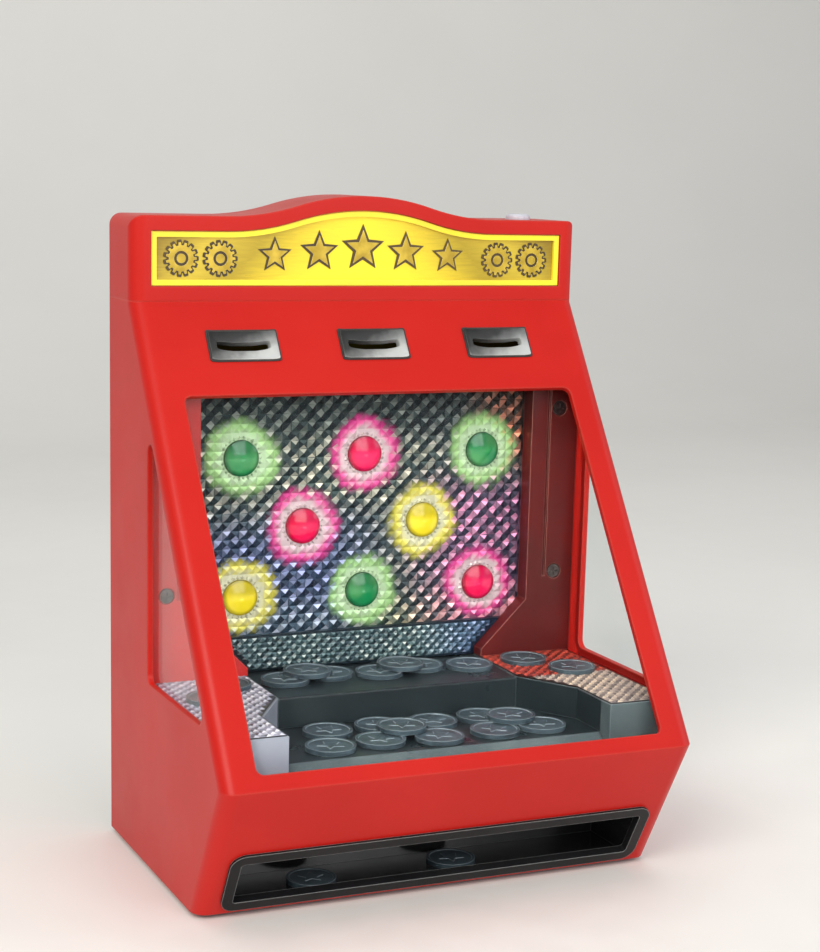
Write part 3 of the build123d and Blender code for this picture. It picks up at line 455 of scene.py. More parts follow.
# -------------------------------------------------------------------- finishes
@dataclass(frozen=True)
class Finish:
    """A finish that becomes one material."""

    name: str

    def make(self, groups: EffectGroups) -> Material:
        """Builds the material.

        Args:
            groups: the shared effects.

        Returns:
            The material.
        """
        skin = Skin(self.name, groups)
        self.dress(skin)
        return skin.material

    def dress(self, skin: Skin) -> None:
        """Feeds the material's shader."""
        raise NotImplementedError


@dataclass(frozen=True)
class Plastic(Finish):
    """Moulded or plated surface with drifting colour, grain and soft edges that carry a painted
    highlight.

    Gloss and dull are the roughness of its glossiest and dullest places, grain
    is the height of its moulded texture, and edge is the colour of the painted highlight along its
    edges.
    """

    base: Colour
    shade: Colour
    gloss: float
    dull: float
    grain: float = 0.02 * MM
    grain_scale: float = 1500.0
    scratches: float = 0.3
    patch_scale: float = 30.0
    dust: float = 0.04
    metallic: float = 0.0
    coat: float = 0.0
    glow: float = 0.0
    specular: float = 0.5
    edge_radius: float = 0.0
    # The edge colour and its share make a painted highlight along the rounded edges.
    edge: Colour = (0.5, 0.5, 0.5)
    edge_highlight_share: float = 0.35
    washes: tuple[Wash, ...] = ()

    def dress(self, skin: Skin) -> None:
        """Feeds the material's shader.

        Args:
            skin: the material.
        """
        mottle = skin.effect(skin.groups.mottle, {
            "Base": solid(self.base), "Shade": solid(self.shade), "Patch Scale": self.patch_scale,
            "Dust": self.dust, "Gloss": self.gloss, "Dull": self.dull,
        })
        colour = skin.web.wash(mottle.outputs["Color"], skin.place, self.washes)
        normal = None
        if self.edge_radius:
            colour, normal = skin.edges(colour, self.edge_radius, self.edge, self.edge_highlight_share)
        skin.relief(self.grain_scale, self.scratches, self.grain, normal=normal)
        skin.give({
            "Base Color": colour, "Roughness": mottle.outputs["Roughness"],
            "Metallic": self.metallic, "Coat Weight": self.coat, "Coat Roughness": 0.08,
            "Specular IOR Level": self.specular,
        })
        if self.glow:
            skin.give({"Emission Color": colour, "Emission Strength": self.glow})


@dataclass(frozen=True)
class ClearPane(Finish):
    """Clear polystyrene that lets the lamps' light through."""

    tint: Colour
    haze: Colour
    roughness: float = 0.02

    def dress(self, skin: Skin) -> None:
        """Feeds the material's shader.

        Args:
            skin: the material.
        """
        mottle = skin.effect(skin.groups.mottle, {
            "Base": solid(self.tint), "Shade": solid(self.haze), "Patch Scale": 22.0,
            "Dust": 0.0, "Gloss": self.roughness, "Dull": self.roughness * 2.5,
        })
        skin.give({
            "Base Color": mottle.outputs["Color"], "Roughness": mottle.outputs["Roughness"],
            "Transmission Weight": 1.0, "IOR": 1.15,
        })
        skin.relief(60.0, 0.15, 0.01 * MM, 0.15)
        web = skin.web
        mix = web.add("ShaderNodeMixShader", None, {
            0: web.add("ShaderNodeLightPath").outputs["Is Shadow Ray"],
            1: skin.shader.outputs[0], 2: web.add("ShaderNodeBsdfTransparent").outputs[0],
        })
        web.feed(skin.out, "Surface", mix.outputs[0])


@dataclass(frozen=True)
class PrismFoil(Finish):
    """Prismatic foil, whose facets differ in tint, partly by painted light and shade on each
    prism's sides, and catch the lights' painted glow.

    The tints run from a dark facet to a lit one. Without a tone on the mesh,
    each cell of the given size is a facet.
    """

    tints: Stops
    panel: LightPanel | None = None
    washes: tuple[Wash, ...] = ()
    metallic: float = 0.4
    facets: bool = True
    cell: float = 3.3 * MM
    glow_share: float = 0.92
    glow_light: float = 0.30

    def _facet(self, skin: Skin) -> Socket:
        """The tone of each facet.

        Args:
            skin: the material.

        Returns:
            The tone stored on the mesh, or one for each small cell.
        """
        web = skin.web
        if self.facets:
            return web.add("ShaderNodeAttribute", {"attribute_name": "facet"}).outputs["Fac"]
        inputs = {"Vector": skin.place, "Scale": 1.0 / self.cell}
        cells = web.add("ShaderNodeTexVoronoi", None, inputs).outputs["Color"]
        tone = web.add("ShaderNodeSeparateColor", None, {0: cells}).outputs[0]
        return web.maths("MULTIPLY", tone, 0.6)

    def dress(self, skin: Skin) -> None:
        """Feeds the material's shader.

        Args:
            skin: the material.
        """
        web, place = skin.web, skin.place
        facet = self._facet(skin)
        colour = web.wash(web.ramp(facet, self.tints), place, self.washes)
        drift = web.spread(web.noise(place, 38.0), 0.42, 0.62, 0.0, 0.5, True)
        colour = web.blend(drift, colour, web.tint(colour, (0.45, 0.5, 0.62)))
        if self.panel:
            colour = self._glow(skin, facet, colour)
        skin.relief(900.0, 0.4, 0.02 * MM, 0.5)
        skin.give({
            "Base Color": colour, "Roughness": web.spread(facet, 0.0, 1.0, 0.30, 0.46),
            "Metallic": self.metallic,
        })

    def _glow(self, skin: Skin, facet: Socket, colour: Socket) -> Socket:
        """Adds the ring of coloured light that each lens throws on the foil.

        Args:
            skin: the material, whose emission is fed.
            facet: tone of each facet, which makes the rings ragged.
            colour: the foil's colour so far.

        Returns:
            The foil's colour with the rings in it.
        """
        web, lens, reach = skin.web, self.panel.lens_radius, self.panel.glow_radius
        light: object = solid((0.0, 0.0, 0.0))
        ragged = web.maths("MULTIPLY", web.maths("SUBTRACT", facet, 0.5), 2.4 * MM)
        uneven = web.maths("SUBTRACT", web.noise(skin.place, 90.0), 0.5)
        ragged = web.maths("ADD", ragged, web.maths("MULTIPLY", uneven, 7.0 * MM))
        glint = web.spread(facet, 0.0, 1.0, 0.74, 1.0)
        for x, z, kind in self.panel.spots:
            away = web.maths("ADD", web.distance(skin.place, (x, self.panel.face_y, z)), ragged)
            ring = web.spread(away, lens * 1.65, reach, self.glow_share, 0.0, True)
            outer = web.spread(away, lens * 1.25, reach * 0.8, 0.0, 1.0, True)
            tint = web.blend(outer, solid(kind.near), solid(kind.far))
            tint = web.blend(1.0, tint, glint, "MULTIPLY")
            colour = web.blend(ring, colour, tint)
            light = web.blend(ring, light, tint)
        skin.give({"Emission Color": light, "Emission Strength": self.glow_light})
        return colour


@dataclass(frozen=True)
class GlowLens(Finish):
    """Translucent dome lit from behind, with painted shade towards its outer edge and over its
    upper half.
    """

    light: Light
    panel: LightPanel
    strength: float = 0.38

    def dress(self, skin: Skin) -> None:
        """Feeds the material's shader.

        Args:
            skin: the material.
        """
        web, radius = skin.web, self.panel.lens_radius
        parts = web.apart(skin.place)
        flat = web.joined(parts[0], 0.0, parts[2])
        nearest: object = 1.0
        height: object = 0.0
        for x, z, kind in self.panel.spots:
            if kind is self.light:
                away = web.distance(flat, (x, 0.0, z))
                nearest = web.maths("MINIMUM", nearest, away)
                mine = web.maths("LESS_THAN", away, radius * 1.5)
                rise = web.maths("DIVIDE", web.maths("SUBTRACT", parts[2], z), radius)
                height = web.maths("ADD", height, web.maths("MULTIPLY", mine, rise))
        # Painted shade: the lens darkens towards its outer edge and over its upper half.
        rim_shade = web.spread(nearest, radius * 0.72, radius, 0.0, 0.8, True)
        upper_shade = web.spread(height, -0.1, 0.5, 0.0, 0.5, True)
        drift = web.noise(skin.place, 75.0, 2.0)
        bright = web.spread(drift, 0.38, 0.62, 0.0, 0.14, True)
        colour = web.blend(bright, solid(self.light.lens), solid(self.light.far))
        dark = web.tint(colour, (0.22, 0.22, 0.22))
        colour = web.blend(web.maths("MAXIMUM", rim_shade, upper_shade), colour, dark)
        skin.relief(1100.0, 0.1, 0.01 * MM, 0.4)
        skin.give({
            "Base Color": colour, "Emission Color": colour, "Emission Strength": self.strength,
            "Roughness": web.spread(drift, 0.3, 0.7, 0.10, 0.20), "Coat Weight": 0.3,
        })


@dataclass(frozen=True)
class SlotMetal(Finish):
    """Plated slot surround with a painted reflection: dark at its upper left and pale at its lower
    right.
    """

    pitch: float = 57.0 * MM
    reach: float = 15.0 * MM
    middle_z: float = 214.0 * MM
    drop: float = 6.0 * MM

    def dress(self, skin: Skin) -> None:
        """Feeds the material's shader.

        Args:
            skin: the material.
        """
        web = skin.web
        x, _, z = web.apart(skin.place)
        # Painted reflection: the grey runs from dark at each plate's upper left to pale at its
        # lower right, with brushed noise mixed in.
        across = web.maths("MODULO", web.maths("ADD", x, 2.5 * self.pitch), self.pitch)
        across = web.maths("SUBTRACT", across, self.pitch / 2)
        across = web.maths("DIVIDE", across, 2 * self.reach)
        down = web.maths("DIVIDE", web.maths("SUBTRACT", self.middle_z, z), 2 * self.drop)
        brushed = web.maths("SUBTRACT", web.noise(skin.place, 260.0, 4.0), 0.5)
        brushed = web.maths("MULTIPLY", brushed, 0.35)
        level = web.maths("ADD", web.maths("ADD", across, down), web.maths("ADD", brushed, 0.5))
        sheen_greys = ((0.0, 0.015), (0.38, 0.04), (0.60, 0.20), (0.82, 0.52), (1.0, 0.62))
        stops = [(at, (grey, grey * 1.04, grey * 1.02)) for at, grey in sheen_greys]
        colour = web.ramp(web.spread(level, -0.4, 1.4, 0.0, 1.0), stops)
        # Painted highlight along the plate's edges.
        colour, normal = skin.edges(colour, 0.3 * MM, (0.62, 0.64, 0.62), 0.35)
        skin.relief(1400.0, 0.4, 0.01 * MM, 0.6, normal)
        skin.give({
            "Base Color": colour, "Roughness": web.spread(brushed, -0.1, 0.1, 0.30, 0.42),
            "Metallic": 0.35,
        })


@dataclass(frozen=True)
class SignGold(Finish):
    """Printed gold field: olive at the ends and bright yellow in the middle."""

    middle_z: float = 247.0 * MM
    half_width: float = 92.0 * MM

    def dress(self, skin: Skin) -> None:
        """Feeds the material's shader.

        Args:
            skin: the material.
        """
        web = skin.web
        x, _, z = web.apart(skin.place)
        across = web.maths("DIVIDE", web.maths("ABSOLUTE", x), self.half_width)
        up = web.maths("MULTIPLY", web.maths("SUBTRACT", z, self.middle_z), 9.0)
        brushed = web.noise(web.vector("MULTIPLY", skin.place, (1.0, 1.0, 14.0)), 120.0, 4.0)
        brushed = web.maths("MULTIPLY", web.maths("SUBTRACT", brushed, 0.5), 0.16)
        colour = web.ramp(web.maths("ADD", web.maths("ADD", across, up), brushed), (
            (0.0, (0.93, 0.80, 0.03)), (0.30, (0.82, 0.62, 0.03)), (0.55, (0.42, 0.30, 0.02)),
            (0.78, (0.62, 0.46, 0.04)), (1.0, (0.30, 0.20, 0.02)),
        ))
        skin.relief(1800.0, 0.1, 0.01 * MM, 0.6)
        # The small emission is painted glow; the sign is no lamp.
        skin.give({
            "Base Color": colour, "Emission Color": colour, "Emission Strength": 0.12,
            "Roughness": web.spread(brushed, -0.05, 0.05, 0.25, 0.40), "Metallic": 0.25,
        })


@dataclass(frozen=True)
class CircuitBoard(Finish):
    """Green board with darker tracks and bright pads."""

    def dress(self, skin: Skin) -> None:
        """Feeds the material's shader.

        Args:
            skin: the material.
        """
        web = skin.web
        tracks = web.add("ShaderNodeTexBrick", {"offset": 0.35}, {
            "Vector": skin.place, "Scale": 160.0, "Mortar Size": 0.03,
            "Color1": solid((0.01, 0.13, 0.05)), "Color2": solid((0.015, 0.17, 0.06)),
            "Mortar": solid((0.03, 0.30, 0.11)),
        })
        cells = web.add("ShaderNodeTexVoronoi", None, {"Vector": skin.place, "Scale": 260.0})
        pads = cells.outputs["Distance"]
        dots = web.spread(pads, 0.14, 0.18, 1.0, 0.0)
        bump = web.add("ShaderNodeBump", None, {
            "Strength": 0.5, "Distance": 0.05 * MM, "Height": tracks.outputs["Fac"],
        })
        skin.give({
            "Base Color": web.blend(dots, tracks.outputs[0], solid((0.62, 0.62, 0.58))),
            "Roughness": web.spread(pads, 0.1, 0.5, 0.25, 0.5), "Normal": bump.outputs[0],
        })


def foil_tints(*stops: tuple[float, float, float, float]) -> Stops:
    """Turns rows of place, red, green and blue into colour stops."""
    return [(at, (red, green, blue)) for at, red, green, blue in stops]


class Finishes:
    """Every finish of the machine, by name."""

    def __init__(self, groups: EffectGroups, panel: LightPanel) -> None:
        """Builds every material.

        Args:
            groups: the shared effects.
            panel: the lights whose glow the foil catches.
        """
        makers = [*self._plastics(), *self._foils(panel)]
        makers += [
            ClearPane("clear_pane", (0.97, 0.985, 0.98), (0.93, 0.95, 0.95)),
            SlotMetal("bezel_silver"), SignGold("sign_gold"), CircuitBoard("circuit_board"),
        ]
        makers += [GlowLens("lens_" + light.word, light, panel) for light in Light]
        self.by_name = {maker.name: maker.make(groups) for maker in makers}

    def __getitem__(self, name: str) -> Material:
        """The material of that name."""
        return self.by_name[name]

    @staticmethod
    def _foils(panel: LightPanel) -> list[PrismFoil]:
        """The foils of the backboard, the skirt and the ledges.

        Args:
            panel: the lights whose glow they catch.

        Returns:
            The foils.
        """
        deep = foil_tints(
            (0.0, 0.004, 0.011, 0.016), (0.30, 0.015, 0.032, 0.036), (0.50, 0.055, 0.085, 0.080),
            (0.70, 0.24, 0.25, 0.20), (1.0, 0.74, 0.70, 0.56))
        blue = foil_tints(
            (0.0, 0.010, 0.022, 0.030), (0.35, 0.035, 0.075, 0.085), (0.6, 0.10, 0.17, 0.17),
            (0.8, 0.26, 0.34, 0.33), (1.0, 0.62, 0.66, 0.60))
        pale = foil_tints(
            (0.0, 0.03, 0.03, 0.04), (0.25, 0.22, 0.22, 0.28), (0.5, 0.42, 0.42, 0.52),
            (0.8, 0.70, 0.70, 0.78), (1.0, 0.90, 0.90, 0.92))
        across_panel = (
            ((10 * MM, 0.0, 165 * MM), (50 * MM, 0.0, 140 * MM), (1.7, 0.72, 1.45)),
            ((40 * MM, 0.0, 150 * MM), (68 * MM, 0.0, 175 * MM), (2.6, 0.85, 0.6)),
            ((0.0, 0.0, 165 * MM), (0.0, 0.0, 180 * MM), (0.38, 0.45, 0.5)),
            ((20 * MM, 0.0, 150 * MM), (-20 * MM, 0.0, 125 * MM), (0.75, 0.85, 1.7)),
            ((0.0, 0.0, 112 * MM), (0.0, 0.0, 94 * MM), (1.5, 1.5, 1.1)),
        )
        across_skirt = (((20 * MM, 0.0, 0.0), (60 * MM, 0.0, 0.0), (0.8, 0.9, 1.5)),)
        low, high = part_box("ledge_foils")
        middle = (low.y + high.y) / 2
        across_ledges = (
            ((0.0, 0.0, 0.0), (20 * MM, 0.0, 0.0), (1.0, 0.80, 0.56)),
            ((0.0, middle, 0.0), (20 * MM, middle + 2 * MM, 0.0), (0.95, 0.16, 0.12)),
        )
        return [
            PrismFoil("foil", deep, panel, across_panel, facets=False),
            PrismFoil("foil_facets", deep, panel, across_panel),
            PrismFoil("foil_spikes", deep, panel, glow_share=0.62),
            PrismFoil("foil_skirt", blue, washes=across_skirt),
            PrismFoil("foil_ledge", pale, washes=across_ledges, metallic=0.2),
        ]

    @staticmethod
    def _plastics() -> list[Plastic]:
        """The plastics and the plain metals.

        Returns:
            The finishes.
        """
        # Painted light: the playfield's ramp in front of the bed is made several times lighter, as
        # the slope that faces the lamps.
        ramp_y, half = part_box("playfield_bed")[0].y + 8 * MM, 0.4 * MM
        ramp = (((0.0, ramp_y + half, 0.0), (0.0, ramp_y - half, 0.0), (6.0, 5.2, 4.8)),)
        return [
            Plastic("cabinet_red", (0.54, 0.012, 0.007), (0.49, 0.009, 0.005), 0.38, 0.42,
                    grain=0.035 * MM, scratches=0.08, patch_scale=14.0, dust=0.02, coat=0.05,
                    specular=0.22, edge_radius=1.2 * MM, edge=(0.85, 0.16, 0.11)),
            # inner_red is the cabinet's red painted several times darker, as painted shade inside
            # the cabinet; side_red, for the lit left inner frame, stays near the cabinet's red.
            Plastic("inner_red", (0.12, 0.005, 0.004), (0.075, 0.004, 0.003), 0.34, 0.46,
                    specular=0.35, edge_radius=0.6 * MM, edge=(0.80, 0.36, 0.28), edge_highlight_share=0.5),
            Plastic("side_red", (0.50, 0.010, 0.008), (0.42, 0.008, 0.006), 0.30, 0.42,
                    coat=0.2, edge_radius=0.8 * MM, edge=(0.78, 0.14, 0.10)),
            # ledge_grey is a painted reflection: the left ledge's front is made a light lilac grey,
            # with a painted highlight on its edges.
            Plastic("ledge_grey", (0.30, 0.32, 0.38), (0.24, 0.26, 0.31), 0.28, 0.42,
                    coat=0.1, edge_radius=0.4 * MM, edge=(0.5, 0.52, 0.58)),
            Plastic("dark_screw", (0.16, 0.13, 0.12), (0.07, 0.06, 0.06), 0.25, 0.4,
                    patch_scale=400.0, metallic=0.9, edge_radius=0.1 * MM, edge=(0.3, 0.3, 0.3)),
            # The glow of star_gold is painted light; the sign is no lamp.
            Plastic("star_gold", (0.66, 0.47, 0.05), (0.42, 0.28, 0.02), 0.25, 0.4,
                    patch_scale=160.0, metallic=0.35, glow=0.06, edge_radius=0.25 * MM,
                    edge=(0.95, 0.85, 0.35), edge_highlight_share=0.8),
            Plastic("back_black", (0.022, 0.022, 0.024), (0.014, 0.014, 0.016), 0.42, 0.62,
                    grain=0.05 * MM, edge_radius=0.5 * MM, edge=(0.09, 0.09, 0.09)),
            Plastic("steel_screw", (0.58, 0.59, 0.61), (0.42, 0.43, 0.46), 0.22, 0.42,
                    patch_scale=400.0, dust=0.02, metallic=1.0),
            Plastic("rubber", (0.02, 0.02, 0.02), (0.035, 0.034, 0.032), 0.6, 0.85,
                    grain=0.06 * MM, dust=0.12),
            Plastic("chute_black", (0.010, 0.010, 0.011), (0.015, 0.015, 0.016), 0.14, 0.24,
                    scratches=0.05, dust=0.02, coat=0.5, edge_radius=0.5 * MM,
                    edge=(0.20, 0.21, 0.21)),
            Plastic("tray_rim", (0.006, 0.006, 0.007), (0.010, 0.010, 0.011), 0.36, 0.5,
                    scratches=0.05, specular=0.25, edge_radius=0.5 * MM,
                    edge=(0.46, 0.48, 0.47), edge_highlight_share=0.95),
            # The glow of sign_yellow is painted light; the sign is no lamp.
            Plastic("sign_yellow", (0.93, 0.80, 0.03), (0.86, 0.68, 0.03), 0.25, 0.38,
                    dust=0.0, glow=0.10, edge_radius=0.25 * MM, edge=(1.0, 0.95, 0.45)),
            Plastic("button_grey", (0.62, 0.64, 0.70), (0.52, 0.54, 0.60), 0.2, 0.35, coat=0.3),
            Plastic("board_black", (0.025, 0.025, 0.028), (0.05, 0.05, 0.05), 0.35, 0.55),
            Plastic("lamp_clear", (0.80, 0.80, 0.72), (0.70, 0.70, 0.62), 0.08, 0.2, glow=0.3),
            # The ramp wash is painted light and the pale edge a painted highlight.
            Plastic("playfield_slate", (0.017, 0.025, 0.028), (0.010, 0.016, 0.019), 0.26, 0.38,
                    scratches=0.1, dust=0.03, specular=0.35, edge_radius=0.6 * MM,
                    edge=(0.28, 0.34, 0.36), edge_highlight_share=0.8, washes=ramp),
            Plastic("gear_white", (0.80, 0.79, 0.74), (0.70, 0.69, 0.63), 0.4, 0.6),
            Plastic("deck_grey", (0.10, 0.105, 0.115), (0.075, 0.08, 0.09), 0.4, 0.6,
                    edge_radius=0.4 * MM, edge=(0.25, 0.26, 0.27)),
            Plastic("motor_steel", (0.55, 0.56, 0.58), (0.40, 0.41, 0.44), 0.25, 0.45,
                    patch_scale=90.0, metallic=1.0),
            Plastic("contact_spring", (0.72, 0.72, 0.70), (0.6, 0.6, 0.6), 0.15, 0.3, metallic=1.0),
            Plastic("cell_jacket", (0.03, 0.04, 0.07), (0.05, 0.06, 0.08), 0.2, 0.35, coat=0.3),
            Plastic("speaker_cone", (0.03, 0.03, 0.03), (0.05, 0.05, 0.05), 0.7, 0.9,
                    grain=0.08 * MM),
            Plastic("switch_black", (0.015, 0.015, 0.016), (0.03, 0.03, 0.03), 0.4, 0.6,
                    edge_radius=0.25 * MM, edge=(0.12, 0.12, 0.12)),
            Plastic("coin_metal", (0.070, 0.104, 0.125), (0.038, 0.060, 0.074), 0.30, 0.44,
                    patch_scale=120.0, dust=0.03, metallic=0.2, specular=0.35,
                    edge_radius=0.45 * MM, edge=(0.40, 0.47, 0.51), edge_highlight_share=0.95),
            Plastic("outline_dark", (0.05, 0.03, 0.01), (0.10, 0.06, 0.01), 0.3, 0.5),
            Plastic("floor_pale", (0.90, 0.89, 0.85), (0.87, 0.86, 0.82), 0.5, 0.7,
                    patch_scale=3.0),
        ]


# ------------------------------------------------------------------ mesh tools
def add_piece(name: str, data: object) -> Piece:
    """A new object with that data, in the scene."""
    piece = bpy.data.objects.new(name, data)
    bpy.context.scene.collection.objects.link(piece)
    return piece


def plain_mesh(source: Piece, name: str) -> Piece:
    """Turns an object's evaluated shape into a plain mesh object.

    Args:
        source: the object with live modifiers, which is removed.
        name: the new piece's name.

    Returns:
        The new object, at the origin.
    """
    bpy.context.view_layer.update()
    ready = source.evaluated_get(bpy.context.evaluated_depsgraph_get())
    mesh = bpy.data.meshes.new_from_object(ready)
    mesh.name = name
    bpy.data.objects.remove(source)
    return add_piece(name, mesh)


def mesh_piece(name: str, points: Iterable[Sequence[float]],
               faces: Iterable[Sequence[int]] = ()) -> Piece:
    """Makes a mesh object.

    Args:
        name: its name.
        points: its points.
        faces: each face's points, by number.

    Returns:
        The new object.
    """
    mesh = bpy.data.meshes.new(name)
    mesh.from_pydata([tuple(p) for p in points], [], [tuple(f) for f in faces])
    mesh.validate()
    return add_piece(name, mesh)


def loft(name: str, rings: Sequence[Sequence[Vector]], place: Matrix) -> Piece:
    """Joins rings of equal length with quads, the last one to the first.

    Args:
        name: the piece's name.
        rings: rings of points, each wound the same way.
        place: where the rings' own frame stands.

    Returns:
        The new object.
    """
    count = len(rings[0])
    faces = []
    for r in range(len(rings)):
        low, high = r * count, ((r + 1) % len(rings)) * count
        for i in range(count):
            j = (i + 1) % count
            faces.append((low + i, low + j, high + j, high + i))
    return mesh_piece(name, [place @ p for ring in rings for p in ring], faces)


def finish_piece(piece: Piece, material: Material,
                 replaced: Sequence[str] = ()) -> None:
    """Dresses a piece, puts it on the cabinet and reports it.

    Args:
        piece: the piece.
        material: its material.
        replaced: CAD nodes that it stands for.
    """
    piece.data.materials.clear()
    piece.data.materials.append(material)
    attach(piece, "cabinet")
    if replaced:
        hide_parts(*replaced)
    LOG.info("%s: %d faces", piece.name, len(piece.data.polygons))


class ShapeTree:
    """A Geometry Nodes tree with named inputs, run on an empty mesh."""

    def __init__(self, name: str, **inputs: str) -> None:
        """Starts the tree.

        Args:
            name: the tree's name.
            inputs: the socket kind of each input, with _ for a space in its name.
        """
        self.tree = bpy.data.node_groups.new(name, "GeometryNodeTree")
        face = self.tree.interface
        face.new_socket("Geometry", in_out="INPUT", socket_type="NodeSocketGeometry")
        self.keys = {}
        for key, kind in inputs.items():
            label = key.replace("_", " ")
            socket = face.new_socket(label, in_out="INPUT", socket_type="NodeSocket" + kind)
            self.keys[key] = socket.identifier
        face.new_socket("Geometry", in_out="OUTPUT", socket_type="NodeSocketGeometry")
        self.web = Web(self.tree)
        self.given = self.web.add("NodeGroupInput").outputs
        self.result = self.web.add("NodeGroupOutput")

    def placed(self, shape: Socket, **inputs: object) -> Socket:
        """The shape moved, turned or scaled."""
        return self.web.add("GeometryNodeTransform", None, {"Geometry": shape, **inputs}).outputs[0]

    def points(self, mesh: Socket, mode: str) -> Socket:
        """One point for each vertex or face of a mesh."""
        return self.web.add("GeometryNodeMeshToPoints", {"mode": mode}, {"Mesh": mesh}).outputs[0]

    def index(self) -> Socket:
        """Each element's number."""
        return self.web.add("GeometryNodeInputIndex").outputs[0]

    def shape_of(self, piece: Socket) -> Socket:
        """The geometry of an object."""
        settings = {"transform_space": "RELATIVE"}
        node = self.web.add("GeometryNodeObjectInfo", settings, {"Object": piece})
        return node.outputs["Geometry"]

    def pyramid(self, radius: object, depth: object) -> Socket:
        """A closed four-sided pyramid."""
        return self.web.add("GeometryNodeMeshCone", {"fill_type": "NGON"}, {
            "Vertices": 4, "Side Segments": 1, "Radius Top": 0.0, "Radius Bottom": radius,
            "Depth": depth,
        }).outputs["Mesh"]

    def copies(self, points: Socket, shape: Socket, **inputs: object) -> Socket:
        """The shape at each point."""
        values = {"Points": points, "Instance": shape, **inputs}
        return self.web.add("GeometryNodeInstanceOnPoints", None, values).outputs[0]

    def real(self, shape: Socket) -> Socket:
        """The instances made real."""
        return self.web.add("GeometryNodeRealizeInstances", None, {0: shape}).outputs[0]

    def chance(self, low: object = None, high: object = None) -> Socket:
        """A seeded random value for each element.

        Args:
            low: the smallest vector.
            high: the largest vector.

        Returns:
            A vector, or a number from 0 to 1 where no vectors are given.
        """
        seed = {"Seed": self.given["Seed"]}
        if low is None:
            settings = {"data_type": "FLOAT"}
            return self.web.add("FunctionNodeRandomValue", settings, seed).outputs[1]
        settings, inputs = {"data_type": "FLOAT_VECTOR"}, {0: low, 1: high, **seed}
        return self.web.add("FunctionNodeRandomValue", settings, inputs).outputs[0]

    def mark(self, shape: Socket, name: str, value: Socket, domain: str) -> Socket:
        """Stores a number on each element.

        Args:
            shape: the geometry.
            name: the attribute's name.
            value: the number.
            domain: what each number belongs to.

        Returns:
            The geometry with the attribute.
        """
        settings = {"data_type": "FLOAT", "domain": domain}
        inputs = {"Geometry": shape, "Name": name, "Value": value}
        return self.web.add("GeometryNodeStoreNamedAttribute", settings, inputs).outputs[0]

    def close(self, shape: Socket) -> None:
        """Ends the tree in Realize Instances and Set Material."""
        dressed = self.web.add("GeometryNodeSetMaterial", None, {
            "Geometry": self.real(shape), "Material": self.given["Material"],
        })
        self.web.feed(self.result, 0, dressed.outputs[0])

    def run(self, name: str, **values: object) -> Piece:
        """Runs the tree.

        Args:
            name: the piece's name.
            values: each input's value, with _ for a space in its name.

        Returns:
            The plain mesh object.
        """
        carrier = add_piece(name + "_carrier", bpy.data.meshes.new(name + "_carrier"))
        modifier = carrier.modifiers.new("shape", "NODES")
        modifier.node_group = self.tree
        for key, value in values.items():
            modifier[self.keys[key]] = value
        return plain_mesh(carrier, name)


# ---------------------------------------------------------------------- pieces
@dataclass(frozen=True)
class FoilSheet:
    """One CAD sheet and the grid of prisms that stands on it.

    Middle lies on the sheet's face, clear is what stays bare round each light,
    and scale is the prisms' size beside the usual.
    """

    node: str
    name: str
    finish: str
    middle: Vector
    size: tuple[float, float]
    seed: int
    upright: bool = True
    clear: float = 0.0
    scale: float = 1.0


